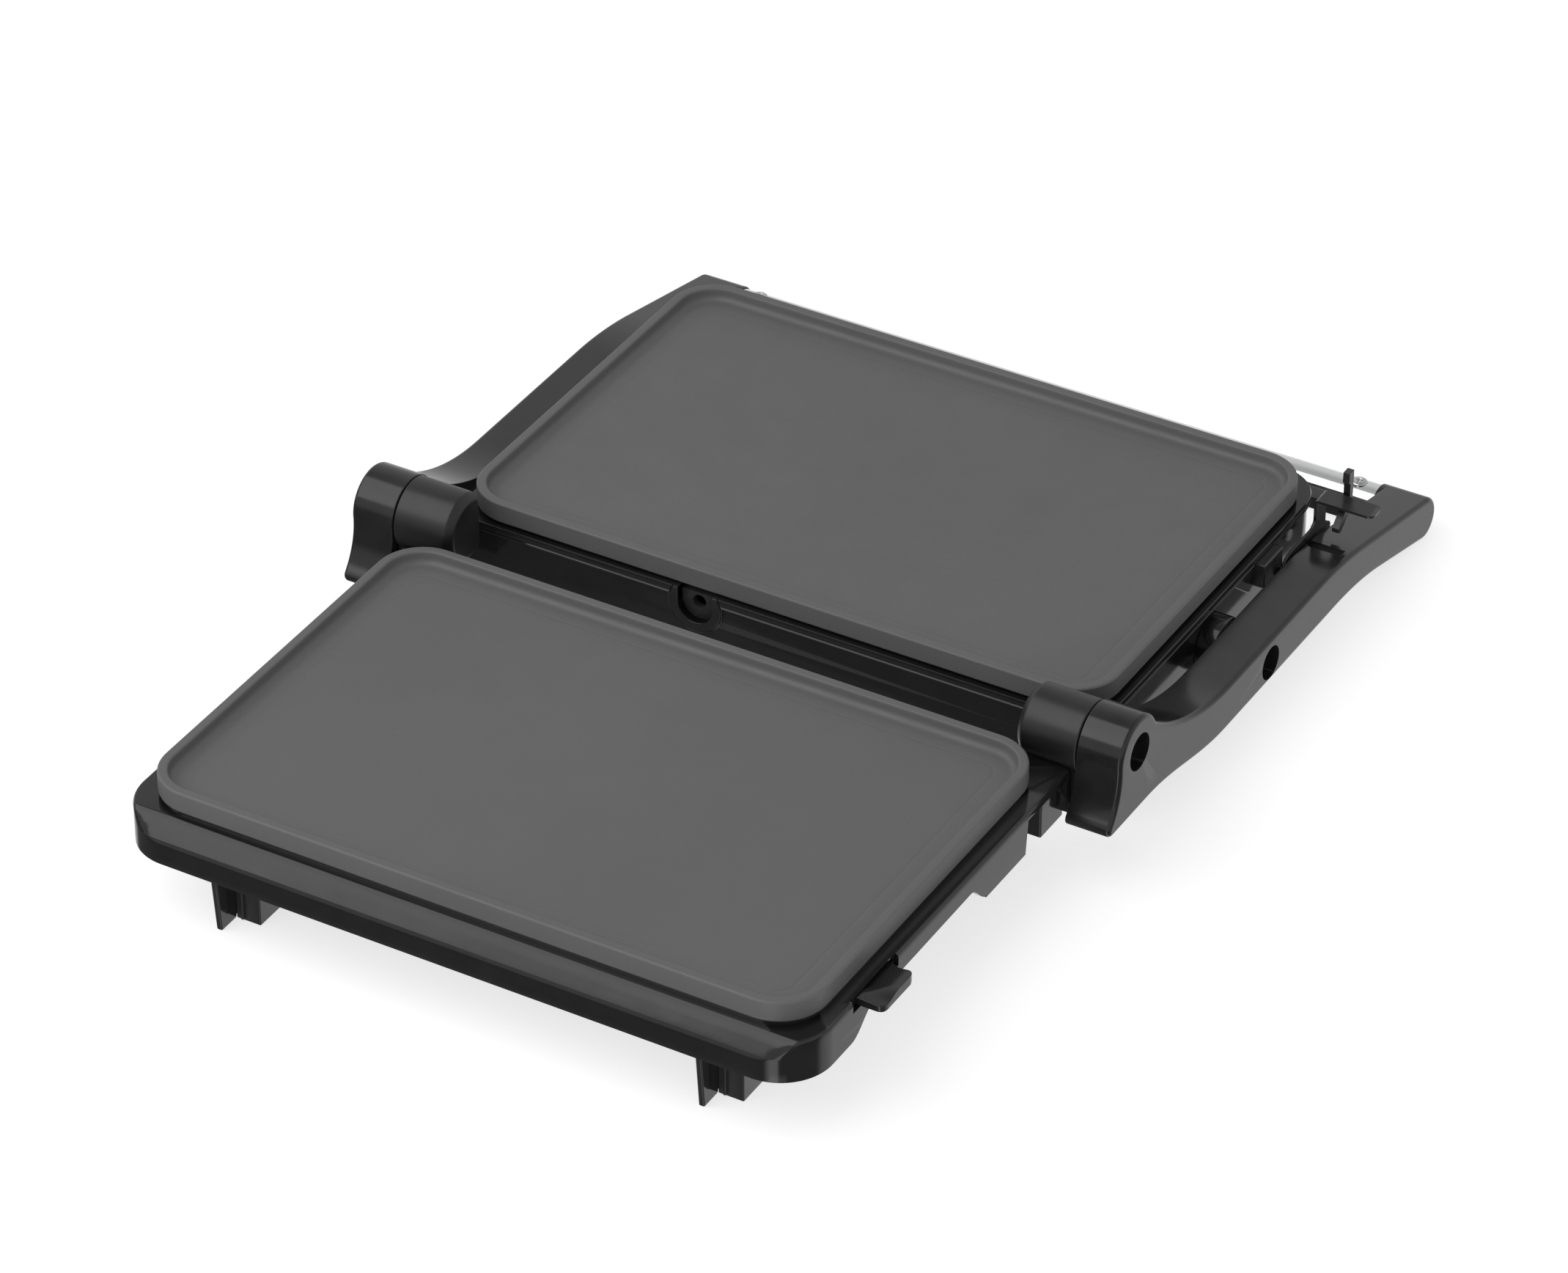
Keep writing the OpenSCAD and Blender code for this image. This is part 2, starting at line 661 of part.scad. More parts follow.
module lid_housing() {
    color("#1d1d1f") at_hinge() {
        difference() {
            union() {
                slab(lid_rim_z - 3, lid_rim_z) lid_outline(0);
                slab(lid_wall_z, lid_rim_z) lid_outline(1.5);
                // collar round the wire passage, no higher than the rim
                intersection() {
                    translate([dip_x, lid_front + 5, dip_z]) rotate([90, 0, 0]) cylinder(h = 5, r = collar_r);
                    slab(lid_wall_z, lid_rim_z) lid_outline(0);
                }
                both_sides() {
                    rod_x(lid_hw - 1.5, arm_in - 0.3, pivot_y, pivot_z, 13);
                    // tongue below the rim
                    side_plate(lid_hw - 3, lid_hw - 0.8)
                        polygon([[133, lid_rim_z - 3], [150.5, lid_rim_z - 3], [150.5, lid_rim_z - 13],
                            [148, lid_rim_z - 16], [145, lid_rim_z - 14], [134, lid_rim_z - 5]]);
                }
            }
            slab(lid_wall_z - 1, lid_rim_z - wall) lid_outline(4);
            slab(lid_rim_z - wall - 1, lid_rim_z + 1) round_rect(plate_w / 2 - opening_in,
                upper_front + opening_in, upper_back - opening_in, 8);
            both_sides() rod_x(lid_hw - 12, arm_out, pivot_y, pivot_z, pivot_pin_r);
            // wire passage, open at the top
            translate([dip_x, lid_front - 1, dip_z]) rotate([-90, 0, 0]) cylinder(h = 8, r = dip_r);
            translate([dip_x - dip_r, lid_front - 1, dip_z]) cube([2 * dip_r, 8, 20]);
            // slot for the release button
            translate([lid_hw - 8, button_y - 0.4, lid_rim_z - 14.4]) cube([10, button_w + 0.8, 11.8]);
        }
        // pads that carry the plate
        for (x = [-110, 110]) for (y = [upper_front + 1.5, upper_back - 4.5])
            translate([x - 6, y, lid_rim_z - 0.5]) cube([12, 3, upper_rim_z - plate_wall - lid_rim_z + 0.5]);
        both_sides() for (y = lid_screw_y) {
            // post for a screw of the cover, on a rib from the side wall
            difference() {
                translate([lid_screw_x, y, lid_wall_z]) cylinder(h = 8, r = 4);
                translate([lid_screw_x, y, lid_wall_z - 1]) cylinder(h = 7, r = 1.5);
            }
            translate([lid_screw_x, y - 1, lid_wall_z + 6.5]) cube([lid_hw - 3 - lid_screw_x, 2, 1.5]);
        }
    }
}

module lid_cover() {
    z = lid_wall_z;
    color("#2e2e30") at_hinge() difference() {
        union() {
            difference() {
                union() {
                    slab(z - 5, z) lid_outline(1.5);
                    slab(z - 8.5, z - 4.5) lid_outline(4);
                    slab(lid_bottom_z, z - 8) lid_outline(9);
                }
                slab(z - 3, z + 1) lid_outline(4);
                slab(z - 6.5, z - 2) lid_outline(6.5);
                slab(lid_bottom_z + 2, z - 6) lid_outline(11.5);
            }
            both_sides() for (y = lid_screw_y)
                translate([lid_screw_x, y, lid_bottom_z]) cylinder(h = z - lid_bottom_z, r = 5);
        }
        both_sides() {
            rod_x(lid_screw_x, lid_hw, pivot_y, pivot_z, pivot_pin_r + 0.6);
            for (y = lid_screw_y) translate([lid_screw_x, y, lid_bottom_z - 1]) {
                cylinder(h = 5, r = 3.9);
                cylinder(h = 20, r = 1.8);
            }
        }
    }
}

module lid_screws() {
    color("silver") at_hinge() both_sides() for (y = lid_screw_y)
        translate([lid_screw_x, y, lid_bottom_z + 4]) rotate([180, 0, 0]) pan_screw(3.6, 1.8, 1.5, 13);
}

module upper_reflector() {
    color("lightgray") at_hinge()
        tray(plate_w / 2 - 16, upper_front + 16, upper_back - 16, 12, lid_rim_z + sheet, 10);
}

module upper_heating_element() {
    color("#5a5a5e") at_hinge() element(95, upper_back - 40, upper_front + 26, lid_rim_z - 2.2);
}

module upper_element_clips() {
    color("silver") at_hinge() for (x = [-95, 95]) for (y = [70, 141])
        element_clip(x, y, lid_rim_z - 2.2, lid_rim_z - 10 + 2 * sheet);
}

module upper_thermostat() {
    color("gainsboro") at_hinge() thermostat(0, 110, lid_rim_z - 10 + 2 * sheet);
}

module wire_grommet() {
    // disc behind the wire passage, cut off under the top of the housing
    color("#101010") at_hinge() intersection() {
        translate([dip_x, lid_front + 7, dip_z]) rotate([90, 0, 0]) difference() {
            cylinder(h = 3, r = dip_r + 2);
            translate([0, 0, -1]) cylinder(h = 5, r = 3);
        }
        slab(lid_wall_z, lid_rim_z - wall) lid_outline(0);
    }
}

module lid_pivot_pins() {
    color("silver") at_hinge() both_sides()
        rod_x(lid_hw - 12, arm_out - recess_d - 0.3, pivot_y, pivot_z, pivot_pin_r);
}

module pivot_screws() {
    color("#2b2b2d") at_hinge() both_sides() translate([arm_out - recess_d + 0.4, pivot_y, pivot_z])
        rotate([0, 90, 0]) pan_screw(pivot_recess_r - 1, 2, 2, 0.7);
}

module upper_release_button() {
    color("#2a2a2c") at_hinge() {
        translate([lid_hw - 12, button_y, lid_rim_z - 14]) cube([16.1, button_w, 11]);
        translate([lid_hw - 14.5, button_y + 4.4, lid_rim_z - 11]) cube([3, 8, 5]);
    }
}

module upper_release_spring() {
    color("silver") at_hinge() spring_x(lid_hw - 14.5 - button_travel - 4.3, 159, lid_rim_z - 8.5);
}

base_housing();
hinge_towers();
base_cover();
foot_pads();
base_screws();
lower_plate();
lower_reflector();
lower_heating_element();
lower_element_clips();
lower_thermostat();
thermal_fuse();
terminal_block();
cord_gland();
hinge_pins();
hinge_screws();
lower_release_tab();
lower_release_spring();
left_arm();
right_arm();
left_arm_cover();
right_arm_cover();
handle_bar();
handle_screws();
hinge_washers();
lock_guide_pins();
lock_slider();
lock_lever();
lock_lever_pin();
lid_housing();
lid_cover();
lid_screws();
upper_plate();
upper_reflector();
upper_heating_element();
upper_element_clips();
upper_thermostat();
wire_grommet();
lid_pivot_pins();
pivot_screws();
upper_release_button();
upper_release_spring();
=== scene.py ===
import json
import math

import bmesh
import bpy
from mathutils import Matrix, Vector


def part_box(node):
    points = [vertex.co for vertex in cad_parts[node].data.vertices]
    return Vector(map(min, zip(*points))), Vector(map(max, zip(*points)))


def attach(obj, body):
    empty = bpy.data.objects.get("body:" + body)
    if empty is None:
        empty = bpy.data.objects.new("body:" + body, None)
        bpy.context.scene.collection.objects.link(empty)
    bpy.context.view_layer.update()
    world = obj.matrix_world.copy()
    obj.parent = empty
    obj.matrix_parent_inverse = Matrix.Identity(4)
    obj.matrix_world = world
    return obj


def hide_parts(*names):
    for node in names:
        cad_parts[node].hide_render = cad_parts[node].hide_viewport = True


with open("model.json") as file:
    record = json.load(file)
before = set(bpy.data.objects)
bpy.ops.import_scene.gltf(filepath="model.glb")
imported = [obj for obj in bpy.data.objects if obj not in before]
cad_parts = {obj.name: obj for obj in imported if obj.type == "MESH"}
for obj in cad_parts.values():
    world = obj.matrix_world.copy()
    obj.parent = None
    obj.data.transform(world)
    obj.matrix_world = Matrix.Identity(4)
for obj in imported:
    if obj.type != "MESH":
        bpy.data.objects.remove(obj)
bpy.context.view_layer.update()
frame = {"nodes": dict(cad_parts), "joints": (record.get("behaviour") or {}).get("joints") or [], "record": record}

# Pieces are drawn in millimetres, with Y measured from the hinge axis and Z from the table.
JOINTS = {joint["name"]: joint for joint in frame["joints"]}
HINGE = Vector(JOINTS["arm_hinge"]["pos_m"])
PIVOT = Vector(JOINTS["lid_level"]["pos_m"])
MM = 0.001
HINGE_Z = HINGE.z / MM
PIVOT_Y = (PIVOT.y - HINGE.y) / MM
PIVOT_Z = PIVOT.z / MM
TO_METRES = Matrix.Translation((0, HINGE.y, 0)) @ Matrix.Scale(MM, 4)


def box_mm(node):
    """A CAD node's lowest and highest corners, in this script's millimetres."""
    return [(corner - Vector((0, HINGE.y, 0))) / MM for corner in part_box(node)]


# ---- materials ----

class Shader:
    """A principled material and the few node chains that these materials share."""

    def __init__(self, name, color, roughness, metallic=0.0):
        self.material = bpy.data.materials.new(name)
        self.material.use_nodes = True
        self.tree = self.material.node_tree
        self.bsdf = self.tree.nodes["Principled BSDF"]
        self.color = color
        self.bsdf.inputs["Base Color"].default_value = (*color, 1)
        self.bsdf.inputs["Roughness"].default_value = roughness
        self.bsdf.inputs["Metallic"].default_value = metallic
        self.coords = self.tree.nodes.new("ShaderNodeTexCoord")
        self.normal = None

    def link(self, source, target):
        self.tree.links.new(source, target)

    def noise(self, scale, detail=3.0, stretch=(1, 1, 1)):
        """Noise over the piece; scale is in features per metre."""
        mapping = self.tree.nodes.new("ShaderNodeMapping")
        mapping.inputs["Scale"].default_value = stretch
        texture = self.tree.nodes.new("ShaderNodeTexNoise")
        texture.inputs["Scale"].default_value = scale
        texture.inputs["Detail"].default_value = detail
        self.link(self.coords.outputs["Object"], mapping.inputs["Vector"])
        self.link(mapping.outputs["Vector"], texture.inputs["Vector"])
        return texture.outputs["Fac"]

    def remap(self, value, low, high, from_low=0.3, from_high=0.7):
        """Stretches value from one range to another, and holds it inside the new one."""
        node = self.tree.nodes.new("ShaderNodeMapRange")
        node.inputs["From Min"].default_value = from_low
        node.inputs["From Max"].default_value = from_high
        node.inputs["To Min"].default_value = low
        node.inputs["To Max"].default_value = high
        self.link(value, node.inputs["Value"])
        return node.outputs["Result"]

    def vary_roughness(self, value, low, high):
        """Lets the roughness follow value, between low and high."""
        self.link(self.remap(value, low, high), self.bsdf.inputs["Roughness"])

    def blend_color(self, value, other, from_low, from_high, base=None):
        """Mixes another colour in where value is high; returns the mixed colour."""
        mix = self.tree.nodes.new("ShaderNodeMix")
        mix.data_type = "RGBA"
        mix.inputs["A"].default_value = (*self.color, 1)
        mix.inputs["B"].default_value = (*other, 1)
        if base is not None:
            self.link(base, mix.inputs["A"])
        self.link(self.remap(value, 0.0, 1.0, from_low, from_high), mix.inputs["Factor"])
        self.link(mix.outputs["Result"], self.bsdf.inputs["Base Color"])
        return mix.outputs["Result"]

    def edges(self, other, low=0.53, high=0.6, base=None):
        """A lighter tone along convex edges: partly wear, partly a painted highlight."""
        geometry = self.tree.nodes.new("ShaderNodeNewGeometry")
        return self.blend_color(geometry.outputs["Pointiness"], other, low, high, base)

    def bump(self, value, strength, distance):
        """Adds relief that follows value, on top of the relief that is there already."""
        node = self.tree.nodes.new("ShaderNodeBump")
        node.inputs["Strength"].default_value = strength
        node.inputs["Distance"].default_value = distance
        self.link(value, node.inputs["Height"])
        if self.normal is not None:
            self.link(self.normal, node.inputs["Normal"])
        self.normal = node.outputs["Normal"]
        self.link(self.normal, self.bsdf.inputs["Normal"])


def housing_plastic(name, smoothest, roughest):
    """Black moulded plastic, with a little unevenness in its gloss."""
    shader = Shader(name, (0.0105, 0.0105, 0.011), roughest)
    shader.vary_roughness(shader.noise(38, 4), smoothest, roughest)
    tone = shader.blend_color(shader.noise(90, 3), (0.0135, 0.0135, 0.014), 0.4, 0.75)
    shader.edges((0.04, 0.04, 0.041), base=tone)
    shader.bump(shader.noise(70, 2), 0.03, 0.0002)
    shader.bump(shader.noise(3200, 2), 0.03, 0.00002)
    return shader.material


def arm_plastic():
    shader = Shader("arm_plastic", (0.0115, 0.0115, 0.012), 0.2)
    shader.vary_roughness(shader.noise(45, 4), 0.13, 0.22)
    tone = shader.blend_color(shader.noise(120, 3), (0.015, 0.015, 0.0155), 0.4, 0.75)
    shader.edges((0.045, 0.045, 0.046), base=tone)
    shader.bump(shader.noise(3200, 3), 0.06, 0.00003)
    return shader.material


def nonstick_plate():
    """Matt grey coating with a fine grain and faint clouds."""
    shader = Shader("nonstick_plate", (0.112, 0.112, 0.113), 0.5)
    shader.vary_roughness(shader.noise(60, 4), 0.46, 0.56)
    tone = shader.blend_color(shader.noise(2400, 2), (0.128, 0.128, 0.129), 0.5, 0.8)
    clouds = shader.blend_color(shader.noise(14, 3), (0.108, 0.108, 0.109), 0.4, 0.75, tone)
    shader.edges((0.15, 0.15, 0.151), 0.52, 0.62, clouds)
    shader.bump(shader.noise(1500, 4), 0.12, 0.00006)
    shader.bump(shader.noise(60, 2), 0.02, 0.0002)
    return shader.material


def brushed_metal(name, color, roughness, along=(1, 1, 1)):
    """Metal with fine lines; along is small on the axis that the lines run along."""
    shader = Shader(name, color, roughness, 1.0)
    lines = shader.noise(1800, 4, along)
    shader.vary_roughness(lines, roughness * 0.7, roughness * 1.35)
    darker = tuple(channel * 0.78 for channel in color)
    tone = shader.blend_color(shader.noise(240, 4, along), darker, 0.45, 0.75)
    shader.edges((0.9, 0.9, 0.9), 0.53, 0.62, tone)
    shader.bump(lines, 0.1, 0.00003)
    return shader.material


def dull_element():
    shader = Shader("element_steel", (0.14, 0.13, 0.125), 0.48, 0.8)
    shader.vary_roughness(shader.noise(260, 4), 0.36, 0.62)
    shader.blend_color(shader.noise(85, 4), (0.2, 0.15, 0.11), 0.48, 0.72)
    shader.bump(shader.noise(2200, 3), 0.2, 0.00006)
    return shader.material


def painted_black():
    shader = Shader("black_screws", (0.02, 0.02, 0.021), 0.34, 0.6)
    shader.vary_roughness(shader.noise(500, 3), 0.25, 0.45)
    shader.edges((0.2, 0.2, 0.2), 0.54, 0.62)
    shader.bump(shader.noise(2600, 3), 0.12, 0.00004)
    return shader.material


def lock_black():
    shader = Shader("lock_black", (0.01, 0.01, 0.011), 0.3)
    shader.vary_roughness(shader.noise(300, 3), 0.22, 0.38)
    shader.edges((0.05, 0.05, 0.052), 0.53, 0.62)
    shader.bump(shader.noise(3600, 2), 0.12, 0.00004)
    return shader.material


def white_insulator():
    shader = Shader("white_insulator", (0.74, 0.72, 0.66), 0.5)
    shader.vary_roughness(shader.noise(400, 3), 0.4, 0.6)
    shader.blend_color(shader.noise(90, 3), (0.62, 0.59, 0.52), 0.45, 0.75)
    shader.bump(shader.noise(1500, 3), 0.15, 0.00006)
    return shader.material


def black_rubber():
    shader = Shader("black_rubber", (0.018, 0.018, 0.018), 0.75)
    shader.vary_roughness(shader.noise(300, 3), 0.65, 0.85)
    shader.blend_color(shader.noise(180, 3), (0.035, 0.035, 0.034), 0.5, 0.8)
    shader.bump(shader.noise(2400, 3), 0.3, 0.0001)
    return shader.material


MATERIALS = {
    "housing_plastic": housing_plastic("housing_plastic", 0.07, 0.16),
    "arm_plastic": arm_plastic(),
    "nonstick_plate": nonstick_plate(),
    "reflector_sheet": brushed_metal("reflector_sheet", (0.72, 0.72, 0.73), 0.28),
    "element_steel": dull_element(),
    "plain_steel": brushed_metal("plain_steel", (0.55, 0.55, 0.56), 0.26),
    "black_screws": painted_black(),
    "handle_aluminium": brushed_metal("handle_aluminium", (0.83, 0.84, 0.85), 0.12, (0.02, 1, 1)),
    "lock_black": lock_black(),
    "thermostat_can": brushed_metal("thermostat_can", (0.62, 0.62, 0.62), 0.3),
    "white_insulator": white_insulator(),
    "black_rubber": black_rubber(),
}

TOWER_PLASTIC = housing_plastic("housing_plastic_satin", 0.3, 0.42)

NODE_SLOTS = {part["node"]: part["material_slot"] for part in frame["record"]["subparts"]}
NODE_BODIES = {node: body for body, members in frame["record"]["behaviour"]["bodies"].items()
               for node in members}

# Every carried-over CAD node wears its slot's material.
for node_name, cad_node in frame["nodes"].items():
    cad_node.data.materials.clear()
    cad_node.data.materials.append(MATERIALS[NODE_SLOTS[node_name]])


# ---- mesh helpers ----

def apply_modifiers(obj):
    bpy.context.view_layer.update()
    evaluated = obj.evaluated_get(bpy.context.evaluated_depsgraph_get())
    mesh = bpy.data.meshes.new_from_object(evaluated)
    obj.modifiers.clear()
    obj.data = mesh


def new_object(bm, name, to_metres=True):
    """Turns bm into an object in the scene; to_metres moves it from this script's millimetres."""
    bmesh.ops.recalc_face_normals(bm, faces=bm.faces)
    mesh = bpy.data.meshes.new(name)
    bm.to_mesh(mesh)
    bm.free()
    if to_metres:
        mesh.transform(TO_METRES)
    obj = bpy.data.objects.new(name, mesh)
    bpy.context.scene.collection.objects.link(obj)
    return obj


def cut(obj, cutters):
    """Takes each cutter out of obj, and removes the cutters."""
    for tool in cutters:
        modifier = obj.modifiers.new("cut", "BOOLEAN")
        modifier.operation = "DIFFERENCE"
        modifier.solver = "EXACT"
        modifier.object = tool
    apply_modifiers(obj)
    for tool in cutters:
        bpy.data.objects.remove(tool)


def round_edges(obj, width, segments, angle):
    """Rounds the edges sharper than angle by width, in millimetres, and smooths the shading."""
    for polygon in obj.data.polygons:
        polygon.use_smooth = True
    if width > 0:
        bevel = obj.modifiers.new("bevel", "BEVEL")
        bevel.width = width * MM
        bevel.segments = segments
        bevel.limit_method = "ANGLE"
        bevel.angle_limit = math.radians(angle)
        bevel.miter_outer = "MITER_ARC"
    weighted = obj.modifiers.new("weighted", "WEIGHTED_NORMAL")
    weighted.weight = 80
    apply_modifiers(obj)


def make_piece(bm, name, node, width, segments=3, angle=32, cutters=(), to_metres=True):
    """Makes a piece of bm in the place of a CAD node: cut, rounded, on its body and in its slot."""
    obj = new_object(bm, name, to_metres)
    obj.data.materials.append(MATERIALS[NODE_SLOTS[node]])
    if cutters:
        cut(obj, cutters)
    round_edges(obj, width, segments, angle)
    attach(obj, NODE_BODIES[node])
    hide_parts(node)


def refine(node, width):
    """A CAD node's own shape, with rounded edges."""
    bm = bmesh.new()
    bm.from_mesh(frame["nodes"][node].data)
    for layer in list(bm.loops.layers.float_vector.values()):
        bm.loops.layers.float_vector.remove(layer)
    bmesh.ops.remove_doubles(bm, verts=bm.verts, dist=2e-6)
    bmesh.ops.dissolve_limit(bm, angle_limit=math.radians(1.2), verts=bm.verts, edges=bm.edges)
    make_piece(bm, node + "_detail", node, width, 2, to_metres=False)


def round_rect(half_width, y0, y1, front_r, back_r, steps):
    """Points round a rectangle with rounded corners, starting at its front right corner."""
    corners = [(half_width - front_r, y0 + front_r, front_r, -90),
               (half_width - back_r, y1 - back_r, back_r, 0),
               (-half_width + back_r, y1 - back_r, back_r, 90),
               (-half_width + front_r, y0 + front_r, front_r, 180)]
    points = []
    for cx, cy, radius, start in corners:
        points += arc(cx, cy, radius, start, start + 90, steps)
    return points


def loft(rings, closed=False):
    """Joins rings of points with faces; its two ends are capped, or joined when closed."""
    bm = bmesh.new()
    rows = [[bm.verts.new(point) for point in ring] for ring in rings]
    count = len(rows[0])
    pairs = list(zip(rows, rows[1:]))
    if closed:
        pairs.append((rows[-1], rows[0]))
    for lower, upper in pairs:
        for i in range(count):
            j = (i + 1) % count
            bm.faces.new((lower[i], lower[j], upper[j], upper[i]))
    if not closed:
        bm.faces.new(rows[0][::-1])
        bm.faces.new(rows[-1])
    return bm


def prism_x(outline, x0, x1):
    """A solid with a flat outline in Y and Z, from x0 to x1."""
    return loft([[(x, y, z) for y, z in outline] for x in (x0, x1)])


def box_solid(low, high):
    """A box between two corners."""
    bm = bmesh.new()
    bmesh.ops.create_cube(bm, size=1)
    middle = (Vector(low) + Vector(high)) / 2
    size = Vector(high) - Vector(low)
    for vert in bm.verts:
        vert.co = Vector(a * b for a, b in zip(vert.co, size)) + middle
    return bm


def cylinder_solid(start, end, radius, steps=64):
    """A cylinder between two points."""
    start, end = Vector(start), Vector(end)
    along = end - start
    turn = along.to_track_quat("Z", "Y")
    rings = []
    for centre in (start, end):
        ring = []
        for i in range(steps):
            angle = 2 * math.pi * i / steps
            offset = Vector((radius * math.cos(angle), radius * math.sin(angle), 0))
            ring.append(centre + turn @ offset)
        rings.append(ring)
    return loft(rings)


def side_rod(side, x0, x1, y, z, radius, steps=64):
    """A cylinder along X from x0 to x1 out, on the left (side -1) or on the right (side 1)."""
    return cylinder_solid((side * x0, y, z), (side * x1, y, z), radius, steps)


def cutter(bm):
    """A solid that cut() takes out of a piece and removes."""
    return new_object(bm, "cutter")


def hole(start, end, radius, steps=64):
    """A round cutter between two points."""
    return cutter(cylinder_solid(start, end, radius, steps))


def pocket(low, high):
    """A box-shaped cutter between two corners."""
    return cutter(box_solid(low, high))


def arc(cx, cy, radius, start, end, steps):
    """Points round a centre, from one angle to another in degrees."""
    points = []
    for i in range(steps + 1):
        angle = math.radians(start + (end - start) * i / steps)
        points.append((cx + radius * math.cos(angle), cy + radius * math.sin(angle)))
    return points


def bend(first, control, last, steps):
    """A quadratic curve from first to last."""
    points = []
    for i in range(steps + 1):
        t = i / steps
        points.append(tuple(a * (1 - t) ** 2 + b * 2 * t * (1 - t) + c * t * t
                            for a, b, c in zip(first, control, last)))
    return points


def ease(y0, z0, y1, z1, steps):
    """A smooth step from z0 to z1 while y goes from y0 to y1."""
    points = []
    for i in range(steps + 1):
        share = (1 - math.cos(math.pi * i / steps)) / 2
        points.append((y0 + (y1 - y0) * i / steps, z0 + (z1 - z0) * share))
    return points


# ---- griddle plates ----

PLATE_R = 20
# How far in from the plate's edge, and how far above the rim's top, round the plate's section.
PLATE_SECTION = [
    (22, -8.2), (6.5, -8.2), (5, -9), (0.8, -9), (0.2, -8.8), (0, -8.2), (0, -4.6), (0, -1.0),
    (0.08, -0.62), (0.3, -0.27), (0.65, -0.06), (1.1, 0), (2.3, 0), (3.3, 0), (3.65, -0.07),
    (3.95, -0.27), (4.15, -0.6), (4.35, -1.3), (4.6, -2.5), (4.85, -3.3), (5.3, -4.05), (6.0, -4.6),
    (6.9, -4.92), (8.0, -5.0), (12.6, -5.0), (13.0, -5.12), (13.6, -5.17), (14.2, -5.12),
    (14.6, -5.0), (22, -5.0)]


def plate_ring(node, inset, z, steps, least_r=5):
    """A ring that follows a plate's outline."""
    low, high = box_mm(node)
    radius = max(PLATE_R - inset, least_r)
    outline = round_rect(high.x - inset, low.y + inset, high.y - inset, radius, radius, steps)
    return [(x, y, z) for x, y in outline]


def griddle_plate(node):
    rim_z = box_mm(node)[1].z
    rings = [plate_ring(node, inset, rim_z + height, 18, 4) for inset, height in PLATE_SECTION]
    make_piece(loft(rings), node + "_casting", node, 0)


griddle_plate("lower_plate")
griddle_plate("upper_plate")


# ---- base ----

# its outline: half width, front, back and corner radii
BASE_HW = 152
BASE_FRONT = box_mm("base_housing")[0].y
BASE_BACK = -12
BASE_R = 22
BASE_BACK_R = 3
BASE_STEPS = 22
# heights of the skirt's foot, the deck with its step, and the front edge's chamfer
SKIRT_Z = 26
DECK_Z = 44
DECK_STEP = 1.5
CHAMFER_Z = 35.5
CHAMFER_D = 7
CHAMFER_BLEND = 1.3
WALL = 2.5
# the round hinge knuckles, and the room that the base leaves for them
KNUCKLE_R = 15.4
KNUCKLE_GAP = 0.1
KNUCKLE_IN = 126
KNUCKLE_OUT = 154
# the cord's hole in the back
CORD_X = 70
CORD_Z = 31
CORD_R = 4
# the release tab: its slot, its rounded outer corners, its flared root and its dip
TAB_LOW, TAB_HIGH = box_mm("lower_release_tab")
TAB_EDGE = BASE_HW - 1.8
TAB_SLOT_IN = 126
TAB_GAP = 0.4
TAB_CORNER_R = 3
TAB_ROWS = 22
TAB_FLARE = 3.2
TAB_FLARE_L = 6.5
TAB_DIP_START = -165.5
TAB_DIP_END = -173.5
# the legs
FOOT_Z = 0
FIN_T = 2.6
LEG_WALL = 2
LEG_ROUND = 0.9


def base_front_at(z):
    """How far forward the base reaches at height z: upright, then sloping back."""
    slope = CHAMFER_D / (DECK_Z - CHAMFER_Z)
    if z < CHAMFER_Z - CHAMFER_BLEND:
        return BASE_FRONT
    if z > CHAMFER_Z + CHAMFER_BLEND:
        return BASE_FRONT + (z - CHAMFER_Z) * slope
    into = z - CHAMFER_Z + CHAMFER_BLEND
    return BASE_FRONT + slope * into * into / (4 * CHAMFER_BLEND)


def base_ring(inset, z, slope=True):
    """A ring that follows the base, and its sloping front where slope is true."""
    outline = round_rect(BASE_HW - inset, BASE_FRONT + inset, BASE_BACK - inset,
                         max(BASE_R - inset, 6), max(BASE_BACK_R - inset, 0.6), BASE_STEPS)
    front = base_front_at(z) + inset if slope else BASE_FRONT + inset
    return [(x, max(y, front), z) for x, y in outline]


def deck_ring(inset, z):
    """A ring on the deck, under the lower plate."""
    return plate_ring("lower_plate", inset, z, BASE_STEPS)


